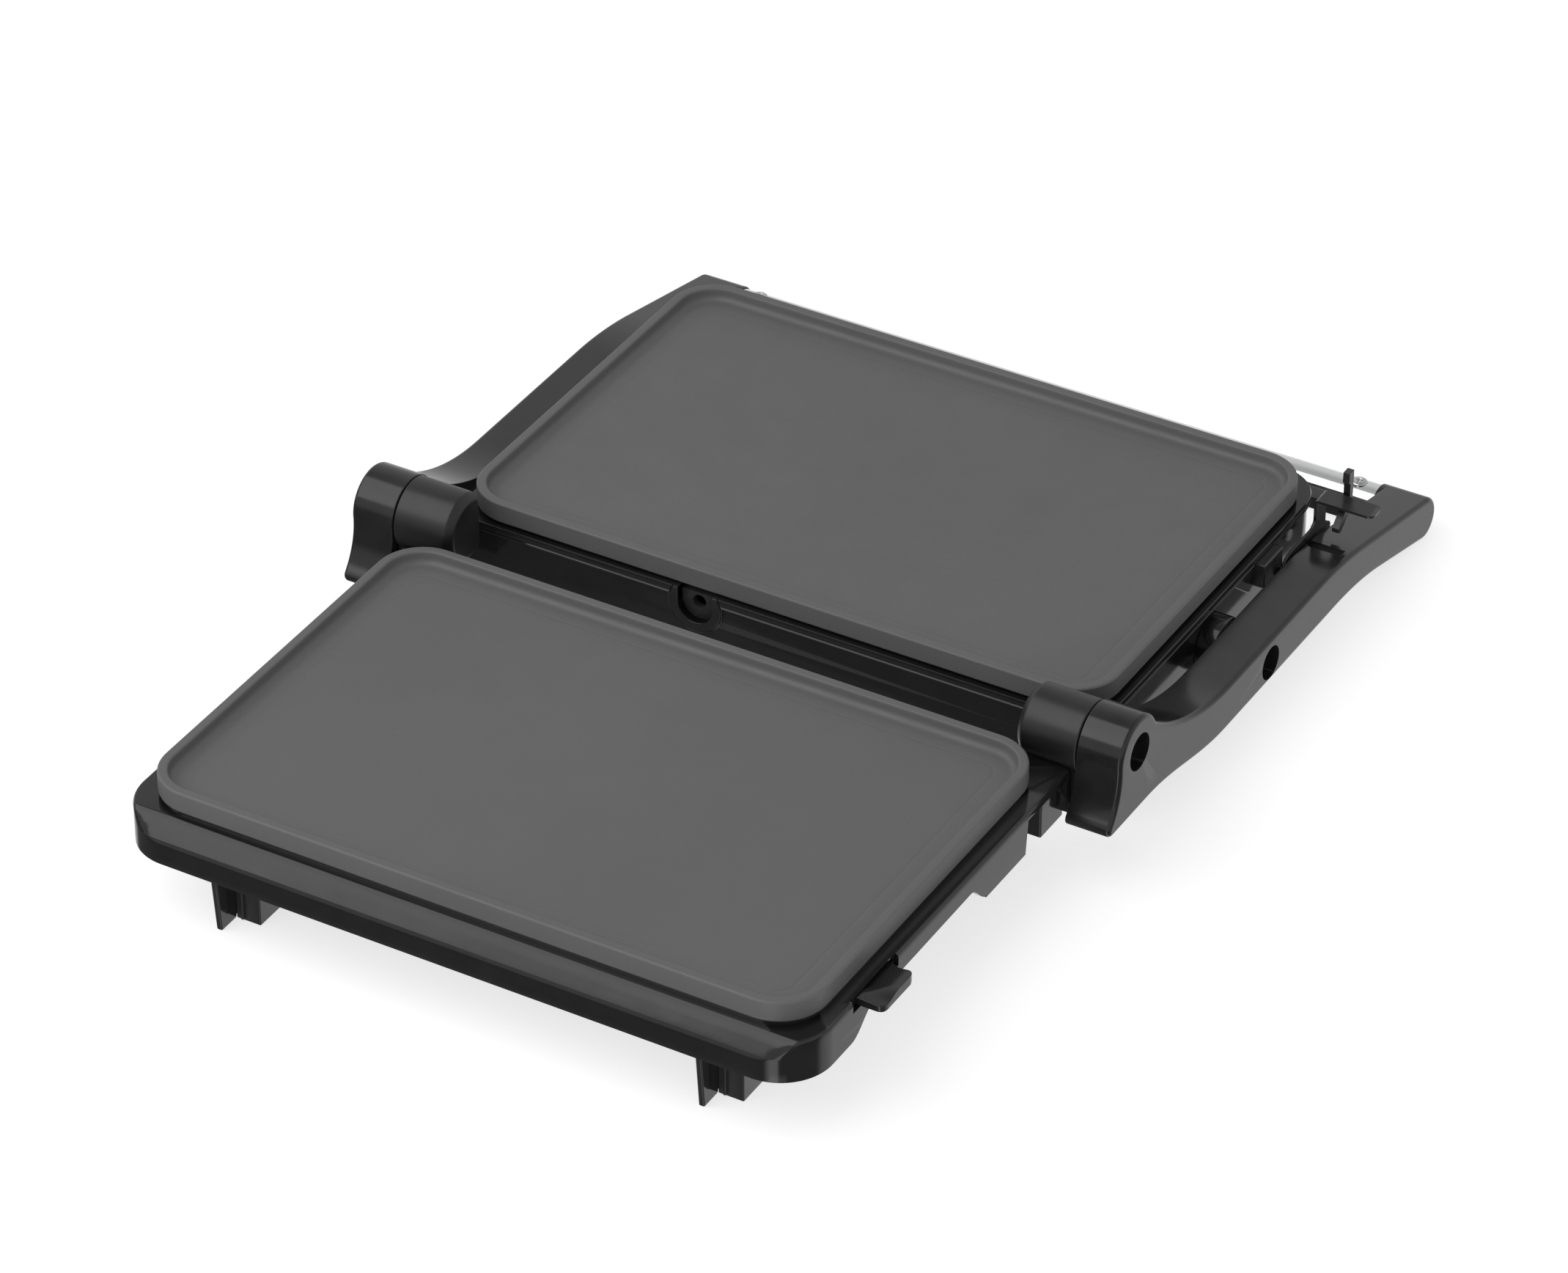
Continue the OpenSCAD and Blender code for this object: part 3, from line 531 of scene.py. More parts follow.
def base_shell():
    """The base's upper shell, open below, with its side skirts cut away between the legs."""
    under_deck = DECK_Z - WALL
    rings = [deck_ring(21, under_deck), base_ring(11, under_deck, False),
             base_ring(WALL + 6, CHAMFER_Z - 1), base_ring(WALL, CHAMFER_Z - 2),
             base_ring(WALL, SKIRT_Z), base_ring(0, SKIRT_Z), base_ring(0, 31)]
    rings += [base_ring(0, CHAMFER_Z - CHAMFER_BLEND + CHAMFER_BLEND / 4 * i) for i in range(9)]
    rings += [base_ring(0, z) for z in (38.5, 40.5, 42.2)]
    # the top edge: a small round, then a low step under the plate
    rings += [base_ring(0.15, DECK_Z - 1.0), base_ring(0.55, DECK_Z - 0.35),
              base_ring(1.2, DECK_Z)]
    rings += [deck_ring(1.2, DECK_Z), deck_ring(1.4, DECK_Z + DECK_STEP),
              deck_ring(5.4, DECK_Z + DECK_STEP), deck_ring(5.6, DECK_Z), deck_ring(21, DECK_Z)]
    # cut-aways from the skirt: a long one with sloping ends, and one in front of the hinge
    low_edge = SKIRT_Z - 1
    notch = ([(-184, low_edge)] + ease(-183, SKIRT_Z, -166, SKIRT_Z + 9, 10)
             + ease(-92, SKIRT_Z + 9.5, -80, SKIRT_Z + 1, 10) + [(-80, low_edge)])
    rear = [(-49, low_edge), (-47, DECK_Z - 3), (-16, DECK_Z - 3), (-16, low_edge)]
    cutters = []
    for side in (-1, 1):
        for outline in (notch, rear):
            cutters.append(cutter(prism_x(outline, side * (BASE_HW - 6), side * (BASE_HW + 1))))
        cutters.append(cutter(side_rod(side, KNUCKLE_IN, KNUCKLE_OUT, 0, HINGE_Z,
                                       KNUCKLE_R + KNUCKLE_GAP)))
    # the release tab's slot, under the deck's edge and open outside it
    cutters.append(pocket((TAB_SLOT_IN, TAB_LOW.y - TAB_GAP, TAB_LOW.z - TAB_GAP),
                          (TAB_EDGE + 0.6, TAB_HIGH.y + 4, DECK_Z - 0.6)))
    cutters.append(pocket((TAB_EDGE, TAB_LOW.y - 5, TAB_LOW.z - TAB_GAP),
                          (BASE_HW + 1, TAB_HIGH.y + 5.6, DECK_Z + 3)))
    cutters.append(hole((CORD_X, BASE_BACK + 1, CORD_Z), (CORD_X, BASE_BACK - 4, CORD_Z), CORD_R))
    make_piece(loft(rings, closed=True), "base_shell", "base_housing", 0.45, 2, 40, cutters)


def front_leg(name, x):
    """A tapered fin below the front edge, with a thin rib and a hollow block behind it."""
    toe = BASE_FRONT + 4.5
    outline = [(BASE_FRONT + 1.2, SKIRT_Z + 9), (toe, FOOT_Z), (toe + 10, FOOT_Z),
               (toe + 24, SKIRT_Z + 9)]
    make_piece(prism_x(outline, x, x + FIN_T), name + "_fin", "base_housing", 0.7)
    make_piece(box_solid((x + 5.6, toe + 8.2, 1.5), (x + 6.9, toe + 10.4, SKIRT_Z + 4)),
               name + "_rib", "base_housing", 0.3, 2)
    hollow = pocket((x + 3.6, toe + 10 + LEG_WALL, FOOT_Z - 1),
                    (x + 13.6 - LEG_WALL, toe + 26 - LEG_WALL, SKIRT_Z - 1))
    make_piece(box_solid((x + 2.5, toe + 10, FOOT_Z), (x + 13.6, toe + 26, SKIRT_Z + 6)),
               name + "_block", "base_housing", LEG_ROUND, cutters=[hollow])


def rear_leg(name, x):
    """A hollow rear leg, and the web that joins it to the base's back."""
    hollow = pocket((x - 8 + LEG_WALL, -56 + LEG_WALL, FOOT_Z - 1),
                    (x + 8 - LEG_WALL, -36 - LEG_WALL, SKIRT_Z))
    make_piece(box_solid((x - 8, -56, FOOT_Z), (x + 8, -36, SKIRT_Z + 8)), name, "base_housing",
               LEG_ROUND, cutters=[hollow])
    make_piece(box_solid((x - 7, -37.5, SKIRT_Z + 0.3), (x + 7, -13, SKIRT_Z + 7.5)),
               name + "_web", "base_housing", 0.6, 2)


def tower_block(name, x0, x1):
    """The base's block in front of a hinge tower."""
    make_piece(box_solid((x0, -30, 20), (x1, BASE_BACK, DECK_Z - 2.2)), name, "base_housing", 0.8)


def smooth_step(low, high, value):
    """0 at low and 1 at high, with a smooth rise between them."""
    share = min(max((value - low) / (high - low), 0), 1)
    return share * share * (3 - 2 * share)


def release_tab():
    """The thumb tab: flared where it leaves the base, thick behind and dipping in front."""
    root = TAB_EDGE + 0.3
    reach = TAB_HIGH.x - root
    columns = [TAB_LOW.x + 3, 144, 148, root]
    columns += [root + reach * i / TAB_ROWS for i in range(1, TAB_ROWS + 1)]
    bm = bmesh.new()
    top = []
    bottom = []
    for x in columns:
        past = max(x - (TAB_HIGH.x - TAB_CORNER_R), 0)
        corner = TAB_CORNER_R - math.sqrt(max(TAB_CORNER_R ** 2 - past * past, 0))
        flare = TAB_FLARE * max(1 - (x - root) / TAB_FLARE_L, 0) ** 2 if x >= root else 0
        y0 = TAB_LOW.y + corner
        y1 = TAB_HIGH.y - corner + flare
        out = min(max((x - root) / reach, 0), 1)
        top_row = []
        bottom_row = []
        for i in range(TAB_ROWS + 1):
            y = y0 + (y1 - y0) * i / TAB_ROWS
            dip = smooth_step(TAB_DIP_START, TAB_DIP_END, y)
            z = TAB_HIGH.z - 1 + out * (1 - 1.7 * dip) - (1 - out) * 0.8 * (1 - dip)
            top_row.append(bm.verts.new((x, y, z)))
            bottom_row.append(bm.verts.new((x, y, TAB_LOW.z)))
        top.append(top_row)
        bottom.append(bottom_row)
    for i in range(len(columns) - 1):
        for j in range(TAB_ROWS):
            bm.faces.new((top[i][j], top[i + 1][j], top[i + 1][j + 1], top[i][j + 1]))
            bm.faces.new((bottom[i][j], bottom[i][j + 1], bottom[i + 1][j + 1], bottom[i + 1][j]))
        for j in (0, TAB_ROWS):
            bm.faces.new((top[i][j], bottom[i][j], bottom[i + 1][j], top[i + 1][j]))
    for i in (0, len(columns) - 1):
        for j in range(TAB_ROWS):
            bm.faces.new((top[i][j], top[i][j + 1], bottom[i][j + 1], bottom[i][j]))
    make_piece(bm, "release_tab", "lower_release_tab", 0.35, 2, 45)


base_shell()
release_tab()
front_leg("left_front_leg", -108.8)
front_leg("right_front_leg", 105)
rear_leg("left_rear_leg", -112)
rear_leg("right_rear_leg", 112)
tower_block("left_tower_block", -148.5, -139.5)
tower_block("right_tower_block", 139.5, 148.5)


# ---- arms ----

# their inner and outer faces, the heights of their edges, and their rounded outer edge
ARM_IN = 155.2
ARM_OUT = 174.7
ARM_TOP = HINGE_Z - 16.2
ARM_BOTTOM = HINGE_Z - 36.4
ARM_TOE = HINGE_Z - 27.6
ARM_BLEND = 2.0
ARM_BLEND_STEPS = 7
# the round far end, which holds the handle tube in a cuff
END_Y = 257
END_R = 9.2
END_STEPS = 96
CUFF_L = 2.3
BAR_LOW, BAR_HIGH = box_mm("handle_bar")
BAR_R = (BAR_HIGH.z - BAR_LOW.z) / 2
# the lug behind the lid
LUG_L = 30
LUG_Y = 230
LUG_W = 7.5
LUG_Z = 16.8
LUG_H = 6.2
# the bores for the pins, the recesses over the screws, and the inner cover's seat
HINGE_PIN_R = 5
PIVOT_PIN_R = 4.5
PIN_GAP = 0.05
HINGE_RECESS_R = 7.9
PIVOT_RECESS_R = 7.3
RECESS_D = 8.2
COVER_GAP = 0.2
COVER_DEPTH = 1.6
# the right arm's groove
GROOVE_Y0 = 181.5
GROOVE_Y1 = 187
GROOVE_R = 3.1
GROOVE_D = 4


def arm_outline():
    """An arm from the side: knuckle and toe, straight middle and drooping far end."""
    knuckle_front = (-KNUCKLE_R, HINGE_Z)
    return (bend(knuckle_front, (-14.6, HINGE_Z - 13), (-22.6, HINGE_Z - 22.5), 16)[:-1]
            + arc(-20.4, ARM_TOE + 3, 3, 150, 270, 8)
            + ease(8, ARM_TOE, 75, ARM_BOTTOM, 22)
            + bend((172, ARM_BOTTOM), (193, ARM_BOTTOM), (212, ARM_BOTTOM - 4.6), 12)
            + arc(END_Y, END_R, END_R, 256, 436, 28)
            + bend((200, ARM_TOP - 4.9), (178, ARM_TOP), (158, ARM_TOP), 12)
            + arc(78, ARM_TOP + 103, 103, 270, 232.5, 22)
            + arc(0, HINGE_Z, KNUCKLE_R, 25, 178, 34))


def inset_outline(points, distance):
    """Moves every point of a closed outline inwards by distance."""
    moved = []
    count = len(points)
    for i in range(count):
        before, here, after = points[i - 1], points[i], points[(i + 1) % count]
        first = Vector((here[0] - before[0], here[1] - before[1])).normalized()
        second = Vector((after[0] - here[0], after[1] - here[1])).normalized()
        normal = Vector((-first.y - second.y, first.x + second.x))
        length = max(normal.length, 0.6)
        shift = normal.normalized() * distance * 2 / length
        moved.append((here[0] + shift.x, here[1] + shift.y))
    return moved


def arm(node, side):
    """One arm's moulding, with its lug behind the lid and its cuff round the handle tube."""
    outline = arm_outline()
    sections = [(ARM_IN, 0.5), (ARM_IN + 0.15, 0.15), (ARM_IN + 0.5, 0)]
    for i in range(ARM_BLEND_STEPS + 1):
        angle = math.pi / 2 * i / ARM_BLEND_STEPS
        sections.append((ARM_OUT - ARM_BLEND + ARM_BLEND * math.sin(angle),
                         ARM_BLEND * (1 - math.cos(angle))))
    rings = [[(side * x, y, z) for y, z in inset_outline(outline, inset)] for x, inset in sections]
    cutters = []
    for y, z, recess, pin in ((0, HINGE_Z, HINGE_RECESS_R, HINGE_PIN_R),
                              (PIVOT_Y, PIVOT_Z, PIVOT_RECESS_R, PIVOT_PIN_R)):
        cutters.append(cutter(side_rod(side, ARM_OUT - RECESS_D, ARM_OUT + 1, y, z, recess)))
        cutters.append(cutter(side_rod(side, ARM_IN - 1, ARM_OUT - 1, y, z, pin + PIN_GAP)))
    cover_low, cover_high = box_mm(node + "_cover")
    inner = sorted((side * (ARM_IN - 1), side * (ARM_IN + COVER_DEPTH)))
    cutters.append(pocket((inner[0], cover_low.y - COVER_GAP, cover_low.z - COVER_GAP),
                          (inner[1], cover_high.y + COVER_GAP, cover_high.z + COVER_GAP)))
    if side > 0:
        cutters.append(cutter(groove()))
    make_piece(loft(rings), node + "_moulding", node, 0.35, 2, 50, cutters)
    lug_x = sorted((side * (ARM_IN - LUG_L), side * (ARM_IN + 1)))
    make_piece(box_solid((lug_x[0], LUG_Y, LUG_Z), (lug_x[1], LUG_Y + LUG_W, LUG_Z + LUG_H)),
               node + "_lug", node, 0.8)
    bore = side_rod(side, ARM_IN - 5, ARM_IN + 0.1, END_Y, END_R, BAR_R + 0.03, END_STEPS)
    make_piece(side_rod(side, ARM_IN - CUFF_L, ARM_IN + 1, END_Y, END_R, END_R, END_STEPS),
               node + "_cuff", node, 0.3, cutters=[cutter(bore)])


def groove():
    """The groove across the right arm's top, with a round inner corner."""
    outer_x = ARM_IN + 15.8
    outline = [(outer_x, GROOVE_Y0), (outer_x, GROOVE_Y1), (ARM_IN + 0.3, GROOVE_Y1)]
    outline += arc(ARM_IN + 3.2, GROOVE_Y0 + GROOVE_R, GROOVE_R, 180, 270, 8)
    return loft([[(x, y, z) for x, y in outline] for z in (ARM_TOP - GROOVE_D, ARM_TOP + GROOVE_D)])


arm("left_arm", -1)
arm("right_arm", 1)


# ---- handle ----

SCREW_LOW, SCREW_HIGH = box_mm("handle_screws")
SCREW_R = (SCREW_HIGH.y - SCREW_LOW.y) / 2
SCREW_PLACES = {"left_handle_screw": SCREW_LOW.x + SCREW_R,
                "right_handle_screw": SCREW_HIGH.x - SCREW_R}
SCREW_STEPS = 48
CROSS_HALF_L = 0.56
CROSS_HALF_W = 0.11
BAR_FLAT_Z = BAR_HIGH.z - 0.7
BAR_STEPS = 128


def handle_bar():
    """The round tube, with a flat under each screw."""
    tube = cylinder_solid((BAR_LOW.x, END_Y, END_R), (BAR_HIGH.x, END_Y, END_R), BAR_R, BAR_STEPS)
    flats = [hole((x, END_Y, BAR_FLAT_Z), (x, END_Y, BAR_FLAT_Z + 3), SCREW_R + 0.1)
             for x in SCREW_PLACES.values()]
    make_piece(tube, "handle_tube", "handle_bar", 0.12, 2, 40, flats)


def cross_screw(name, centre, radius, height, node):
    """A pan head with a cross recess, facing up."""
    section = [(0.0, -1.2), (radius * 0.42, -1.2), (radius * 0.42, -0.02), (radius * 0.93, 0.0),
               (radius, height * 0.16), (radius, height * 0.42), (radius * 0.95, height * 0.62),
               (radius * 0.82, height * 0.82), (radius * 0.6, height * 0.95),
               (radius * 0.3, height), (0.05, height)]
    rings = []
    for r, z in section:
        r = max(r, 0.05)
        rings.append([(centre[0] + r * math.cos(2 * math.pi * i / SCREW_STEPS),
                       centre[1] + r * math.sin(2 * math.pi * i / SCREW_STEPS), centre[2] + z)
                      for i in range(SCREW_STEPS)])
    # each bar of the cross has upright long sides, and ends that slope in towards its floor
    cutters = []
    for long_x, long_y in ((CROSS_HALF_L, CROSS_HALF_W), (CROSS_HALF_W, CROSS_HALF_L)):
        bars = []
        for share, z in ((0.35, height * 0.35), (1.0, height * 1.1)):
            half_x = radius * long_x * (share if long_x > long_y else 1)
            half_y = radius * long_y * (share if long_y > long_x else 1)
            bars.append([(centre[0] + a * half_x, centre[1] + b * half_y, centre[2] + z)
                         for a, b in ((-1, -1), (1, -1), (1, 1), (-1, 1))])
        cutters.append(cutter(loft(bars)))
    make_piece(loft(rings), name, node, 0.08, 2, 40, cutters)


handle_bar()
for screw_name, screw_x in SCREW_PLACES.items():
    cross_screw(screw_name, (screw_x, END_Y, BAR_FLAT_Z), SCREW_R, SCREW_HIGH.z - BAR_FLAT_Z,
                "handle_screws")


# ---- lid ----

# its outline, with its front on the side that faces the base, and the heights of its wall
LID_LOW, LID_HIGH = box_mm("lid_housing")
LID_FRONT = LID_LOW.y
LID_HW = 148.5
LID_FRONT_R = 9
LID_BACK_R = 20
LID_STEPS = 18
LID_RIM_Z = 44
LID_WALL_Z = 22
BUTTON_GAP = 0.4
BOSS_R = 13
# the wire passage, and the collar and the bead round it
DIP_X = -33.5
DIP_Z = 37.4
DIP_R = 8
COLLAR_R = 12.4
BEAD_R = 0.34
BEAD_STEPS = 10
# the screws in the cover
LID_SCREW_R = 3.6
LID_SCREW_D = 1.8
# How far in from the lid's edge, and how far above its wall's foot, round the cover's section.
LID_COVER_SECTION = [
    (4, 0), (1.5, 0), (1.5, -2.2), (1.65, -3.2), (2.2, -4.4), (3.4, -6), (5.2, -7.6), (7.6, -9.1),
    (10.6, -10.4), (14, -11.3), (18, -11.85), (24, -12), (27.4, -12), (27.9, -11.85),
    (28.3, -11.4), (29.4, -11.3), (30, -11.55), (30.6, -11.8), (32, -11.9), (46, -11.95)]


def lid_ring(inset, z, front=None):
    """A ring that follows the lid; front is its inset on the side that faces the base."""
    y0 = LID_FRONT + (inset if front is None else front)
    outline = round_rect(LID_HW - inset, y0, LID_HIGH.y - inset,
                         max(LID_FRONT_R - inset, 3), max(LID_BACK_R - inset, 5), LID_STEPS)
    return [(x, y, z) for x, y in outline]


def rim_ring(inset, z):
    """A ring on the lid's rim, under the upper plate."""
    return plate_ring("upper_plate", inset, z, LID_STEPS)


def dip_cutters(front):
    """The wire passage: a round hole that is open at the top."""
    return [hole((DIP_X, front - 1, DIP_Z), (DIP_X, front + 7, DIP_Z), DIP_R),
            pocket((DIP_X - DIP_R, front - 1, DIP_Z), (DIP_X + DIP_R, front + 7, DIP_Z + 20))]


def pivot_hole(side):
    """The bore through the lid's wall and boss for a pivot pin."""
    return cutter(side_rod(side, LID_HW - 12, ARM_OUT, PIVOT_Y, PIVOT_Z, PIVOT_PIN_R))


def lid_shell():
    """The lid's housing, with its rim up, as it lies when the press is open."""
    rim = LID_RIM_Z
    under_rim = rim - WALL
    rings = [rim_ring(21, under_rim), lid_ring(8, under_rim), lid_ring(4, under_rim - 1),
             lid_ring(4, LID_WALL_Z), lid_ring(1.5, LID_WALL_Z, 0.7), lid_ring(1.5, 30, 0.7),
             lid_ring(1.5, rim - 4.6, 0.7)]
    # a ridge and a fine groove run round under the rim
    rings += [lid_ring(1.2, rim - 4.3, 0.5), lid_ring(0.3, rim - 4.1, 0.25),
              lid_ring(0.1, rim - 3.9), lid_ring(0.1, rim - 3.6), lid_ring(0.45, rim - 3.2),
              lid_ring(0.45, rim - 3.05), lid_ring(0.1, rim - 2.85), lid_ring(0, rim - 2.6),
              lid_ring(0, rim - 0.7), lid_ring(0.2, rim - 0.2), lid_ring(0.7, rim),
              rim_ring(4, rim), rim_ring(21, rim)]
    cutters = dip_cutters(LID_FRONT)
    # the rim's ridge stops at the collar
    cutters.append(hole((DIP_X, LID_FRONT - 1, DIP_Z), (DIP_X, LID_FRONT + 0.8, DIP_Z), COLLAR_R))
    button_low, button_high = box_mm("upper_release_button")
    cutters.append(pocket((LID_HW - 8, button_low.y - BUTTON_GAP, button_low.z - BUTTON_GAP),
                          (LID_HW + 2, button_high.y + BUTTON_GAP, button_high.z + BUTTON_GAP)))
    cutters += [pivot_hole(side) for side in (-1, 1)]
    make_piece(loft(rings, closed=True), "lid_shell", "lid_housing", 0.4, 2, 40, cutters)


def lid_collar():
    """The flat collar that dips round the wire passage, with a ridge along its edge."""
    front = LID_FRONT + 0.02
    disc = cylinder_solid((DIP_X, front, DIP_Z), (DIP_X, front + 5, DIP_Z), COLLAR_R - 0.5, 96)
    above = pocket((DIP_X - 20, front - 1, LID_RIM_Z - 0.2), (DIP_X + 20, front + 7, LID_RIM_Z + 9))
    make_piece(disc, "lid_collar", "lid_housing", 0.3, 2, 40, dip_cutters(front) + [above])
    ridge_r = COLLAR_R - 0.05
    rings = []
    for x, z in arc(0, 0, ridge_r, 163, 377, 56):
        angle = math.atan2(z, x)
        ring = []
        for i in range(BEAD_STEPS):
            turn = 2 * math.pi * i / BEAD_STEPS
            radius = ridge_r + BEAD_R * math.cos(turn)
            ring.append((DIP_X + radius * math.cos(angle), front + 0.42 + BEAD_R * math.sin(turn),
                         DIP_Z + radius * math.sin(angle)))
        rings.append(ring)
    make_piece(loft(rings), "lid_collar_ridge", "lid_housing", 0)


def lid_boss(name, side):
    """The round boss that carries a pivot pin."""
    make_piece(side_rod(side, LID_HW - 1.6, ARM_IN - 0.3, PIVOT_Y, PIVOT_Z, BOSS_R, 72),
               name, "lid_housing", 0.6, cutters=[pivot_hole(side)])


def lid_tongue(name, side):
    """The flat tongue that hangs from the rim at the lid's side."""
    rim = LID_RIM_Z
    outline = [(133, rim - 3), (150.5, rim - 3), (150.5, rim - 13), (148, rim - 16),
               (145, rim - 14), (134, rim - 5)]
    make_piece(prism_x(outline, side * (LID_HW - 3), side * (LID_HW - 0.8)),
               name, "lid_housing", 0.5, 2)


def lid_cover():
    """The lid's domed cover, which faces down when the press is open."""
    rings = [lid_ring(5, LID_WALL_Z - 9), lid_ring(4, LID_WALL_Z - 4)]
    rings += [lid_ring(inset, LID_WALL_Z + height) for inset, height in LID_COVER_SECTION]
    low, high = box_mm("lid_screws")
    cutters = []
    for x in (low.x + LID_SCREW_R, high.x - LID_SCREW_R):
        for y in (low.y + LID_SCREW_R, high.y - LID_SCREW_R):
            cutters.append(hole((x, y, 5), (x, y, low.z + LID_SCREW_D), LID_SCREW_R + 0.3, 40))
    for side in (-1, 1):
        cutters.append(cutter(side_rod(side, 128, LID_HW, PIVOT_Y, PIVOT_Z, PIVOT_PIN_R + 0.6)))
    make_piece(loft(rings), "lid_dome", "lid_cover", 0.3, 2, 40, cutters)


lid_shell()
lid_collar()
for side_name, side_sign in (("left", -1), ("right", 1)):
    lid_boss(side_name + "_lid_boss", side_sign)
    lid_tongue(side_name + "_lid_tongue", side_sign)
lid_cover()


# ---- lock ----

# the strip that it's bent from, and the bend's radius and lower end
LOCK_LOW, LOCK_HIGH = box_mm("lock_slider")
LOCK_SHEET = 1.2
LOCK_EDGE = 0.25
LOCK_BEND_R = 1.9
LOCK_BEND_Z = 38
# the thumb tab
THUMB_Y0 = 192.8
THUMB_Y1 = 202.1
THUMB_CORNER_R = 3
# the slots that slide on the guide pins, and the ears for the lever's pin
GUIDE_YS = (176, 194)
GUIDE_Z = 27.5
SLOT_LENGTH = 8.3
SLOT_R = 1.55
EAR_XS = {"inner_lever_ear": 159.3, "outer_lever_ear": 164.7}
EAR_T = 1.4


def lock_leg():
    """The lock's slotted leg, which stands beside the arm."""
    x0 = LOCK_LOW.x
    x1 = x0 + LOCK_SHEET
    outline = [(164, 33.1), (164.5, 32.2), (166.5, 31.3), (168.3, 25.4), (169, 24.4), (170, 23.8),
               (206, 23.8), (207, 24.6), (207, 30.2), (206.4, 31.2), (203, 33.2), (THUMB_Y1, 34.4),
               (THUMB_Y1, 41), (THUMB_Y0, 41), (THUMB_Y0, 39.4), (192.2, 38.4), (190, 36.9),
               (189, 36.7), (169.5, 36.7), (168.4, 36.4), (164.4, 34.2)]
    slots = []
    for slot_y in GUIDE_YS:
        slot = (arc(slot_y + SLOT_LENGTH, GUIDE_Z, SLOT_R, -90, 90, 12)
                + arc(slot_y, GUIDE_Z, SLOT_R, 90, 270, 12))
        slots.append(cutter(prism_x(slot, x0 - 1, x1 + 1)))
    make_piece(prism_x(outline, x0, x1), "lock_leg", "lock_slider", LOCK_EDGE, 2, 35, slots)


def thumb_corner(y, centre):
    """A cutter that rounds one corner of the thumb tab."""
    top = LOCK_HIGH.z
    middle_x = LOCK_HIGH.x - THUMB_CORNER_R
    corner = pocket((middle_x, min(y, centre) - 0.5, top - 4),
                    (LOCK_HIGH.x + 1, max(y, centre) + 0.5, top + 2))
    inner = sorted((centre, THUMB_Y1 + 1 if y < centre else THUMB_Y0 - 1))
    cut(corner, [hole((middle_x, centre, top - 5), (middle_x, centre, top + 3),
                      THUMB_CORNER_R, 48),
                 pocket((middle_x - 1, inner[0], top - 5), (LOCK_HIGH.x + 2, inner[1], top + 3))])
    return corner


def lock_thumb_tab():
    """The strip's upright end and its thumb tab over the arm, with one bend between them."""
    top = LOCK_HIGH.z
    bend_z = top - LOCK_BEND_R
    # a hair inside the leg's faces, which it overlaps
    outer_x = LOCK_LOW.x + 0.02
    inner_x = LOCK_LOW.x + LOCK_SHEET - 0.02
    inner_r = LOCK_BEND_R - LOCK_SHEET
    outer_bend = arc(LOCK_LOW.x + LOCK_BEND_R, bend_z, LOCK_BEND_R, 180, 90, 8)
    inner_bend = arc(LOCK_LOW.x + LOCK_SHEET + inner_r, bend_z, inner_r, 90, 180, 6)
    outline = [(outer_x, LOCK_BEND_Z)] + [(max(x, outer_x), z) for x, z in outer_bend]
    outline += [(LOCK_HIGH.x, top), (LOCK_HIGH.x, top - LOCK_SHEET)]
    outline += inner_bend + [(inner_x, bend_z), (inner_x, LOCK_BEND_Z)]
    corners = [thumb_corner(THUMB_Y0, THUMB_Y0 + THUMB_CORNER_R),
               thumb_corner(THUMB_Y1, THUMB_Y1 - THUMB_CORNER_R)]
    make_piece(loft([[(x, y, z) for x, z in outline] for y in (THUMB_Y0, THUMB_Y1)]),
               "lock_thumb_tab", "lock_slider", LOCK_EDGE, 2, 35, corners)


def lever_ear(name, x):
    """One of the two ears that carry the lever's pin."""
    top = LOCK_HIGH.z
    outline = [(201.6, top - 0.5), (196, top - 0.5)] + arc(204.6, 44.5, 2, 218, 425, 18)
    make_piece(prism_x(outline, x, x + EAR_T), name, "lock_slider", LOCK_EDGE, 2, 35)


lock_leg()
lock_thumb_tab()
for ear_name, ear_x in EAR_XS.items():
    lever_ear(ear_name, ear_x)


# ---- CAD shapes with rounded edges ----

REFINED = {
    "hinge_towers": 0.8, "base_cover": 0.5, "foot_pads": 0.4, "lower_reflector": 0.25,
    "upper_reflector": 0.25, "lower_thermostat": 0.3, "upper_thermostat": 0.3,
    "terminal_block": 0.4, "cord_gland": 0.4, "wire_grommet": 0.5, "upper_release_button": 0.7,
    "left_arm_cover": 0.3, "right_arm_cover": 0.3, "lock_lever": 0.4}

for refined_node, edge_width in REFINED.items():
    refine(refined_node, edge_width)
# the hinge towers have a softer sheen than the rest of the base
bpy.data.objects["hinge_towers_detail"].data.materials[0] = TOWER_PLASTIC


# ---- floor, light and camera ----

AZIMUTH = math.radians(30.06)
ELEVATION = math.radians(34.95)
DISTANCE = 2.705
AIM = Vector((0.0217, -0.0315, 0.0568))
LENS = 159.0
SENSOR = 36.0
FLOOR_GREY = 0.45
FLOOR_GLOW = 0.72


def add_camera():
    """A long lens, from the right in front and above."""
    back = Vector((math.sin(AZIMUTH) * math.cos(ELEVATION),
                   -math.cos(AZIMUTH) * math.cos(ELEVATION),
                   math.sin(ELEVATION)))
    data = bpy.data.cameras.new("camera")
    data.lens = LENS
    data.sensor_width = SENSOR
    camera = bpy.data.objects.new("camera", data)
    camera.location = AIM + back * DISTANCE
    camera.rotation_euler = back.to_track_quat("Z", "Y").to_euler()
    bpy.context.scene.collection.objects.link(camera)
    bpy.context.scene.camera = camera


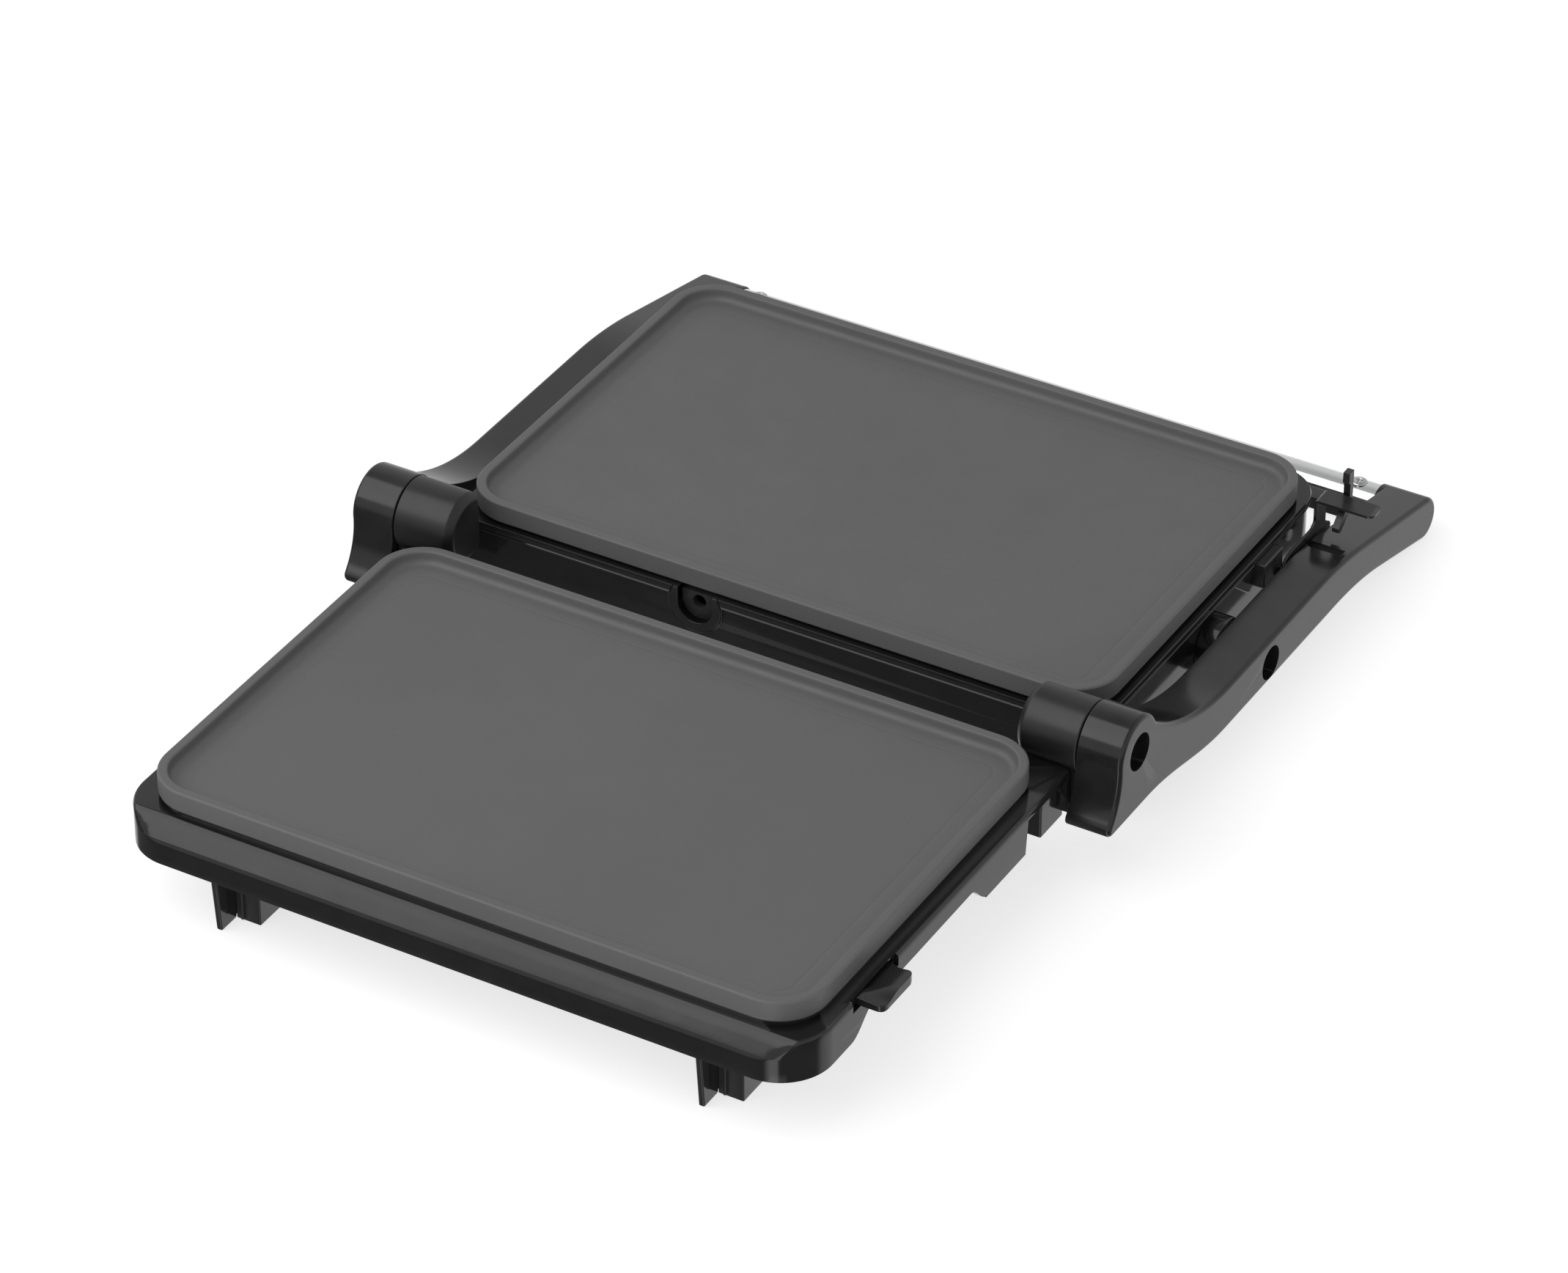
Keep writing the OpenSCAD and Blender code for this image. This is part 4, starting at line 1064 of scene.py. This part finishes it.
def add_floor():
    """A pale floor that glows a little, and that glossy surfaces don't mirror."""
    bm = bmesh.new()
    bmesh.ops.create_grid(bm, x_segments=1, y_segments=1, size=6)
    mesh = bpy.data.meshes.new("floor")
    bm.to_mesh(mesh)
    bm.free()
    floor = bpy.data.objects.new("floor", mesh)
    bpy.context.scene.collection.objects.link(floor)
    shader = Shader("floor", (FLOOR_GREY, FLOOR_GREY, FLOOR_GREY), 0.9)
    shader.bsdf.inputs["Specular IOR Level"].default_value = 0.1
    shader.bsdf.inputs["Emission Color"].default_value = (1, 1, 1, 1)
    shader.bsdf.inputs["Emission Strength"].default_value = FLOOR_GLOW
    mesh.materials.append(shader.material)
    floor.visible_glossy = False


def add_area_light(name, toward, distance, size, power):
    """A softbox that faces the middle of the scene, with its long side along X."""
    away = Vector(toward).normalized()
    across = (Vector((1, 0, 0)) - away * away.x).normalized()
    data = bpy.data.lights.new(name, "AREA")
    data.shape = "RECTANGLE"
    data.size, data.size_y = size
    data.energy = power
    light = bpy.data.objects.new(name, data)
    turn = Matrix((across, away.cross(across), away)).transposed()
    light.matrix_world = Matrix.Translation(away * distance) @ turn.to_4x4()
    bpy.context.scene.collection.objects.link(light)


def add_world(dome, zenith, front, back, glint):
    """A soft dome; below the horizon it's dark in front, with a bright strip, and bright behind."""
    world = bpy.data.worlds.new("studio")
    world.use_nodes = True
    tree = world.node_tree
    coords = tree.nodes.new("ShaderNodeTexCoord")
    split = tree.nodes.new("ShaderNodeSeparateXYZ")
    tree.links.new(coords.outputs["Generated"], split.inputs["Vector"])

    def step(source, from_low, from_high, low, high):
        """Goes smoothly from low to high, which are numbers or other steps."""
        node = tree.nodes.new("ShaderNodeMapRange")
        node.interpolation_type = "SMOOTHSTEP"
        node.inputs["From Min"].default_value = from_low
        node.inputs["From Max"].default_value = from_high
        for socket, value in (("To Min", low), ("To Max", high)):
            if isinstance(value, float):
                node.inputs[socket].default_value = value
            else:
                tree.links.new(value, node.inputs[socket])
        tree.links.new(source, node.inputs["Value"])
        return node.outputs["Result"]

    strip_start = step(split.outputs["X"], -0.08, 0.16, front, glint)
    strip = step(split.outputs["X"], 0.3, 0.36, strip_start, front)
    below = step(split.outputs["Y"], 0.15, 0.4, strip, back)
    above = step(split.outputs["Z"], 0.6, 0.95, dome, zenith)
    level = step(split.outputs["Z"], -0.12, 0.1, below, above)
    background = tree.nodes["Background"]
    background.inputs["Color"].default_value = (1, 1, 1, 1)
    tree.links.new(level, background.inputs["Strength"])
    bpy.context.scene.world = world


add_camera()
add_floor()
add_world(dome=0.64, zenith=0.38, front=0.13, back=0.8, glint=1.6)
add_area_light("key", toward=(-0.41, -0.421, 0.809), distance=1.8, size=(2.0, 1.92), power=18.2)
bpy.context.scene.view_settings.view_transform = "Standard"
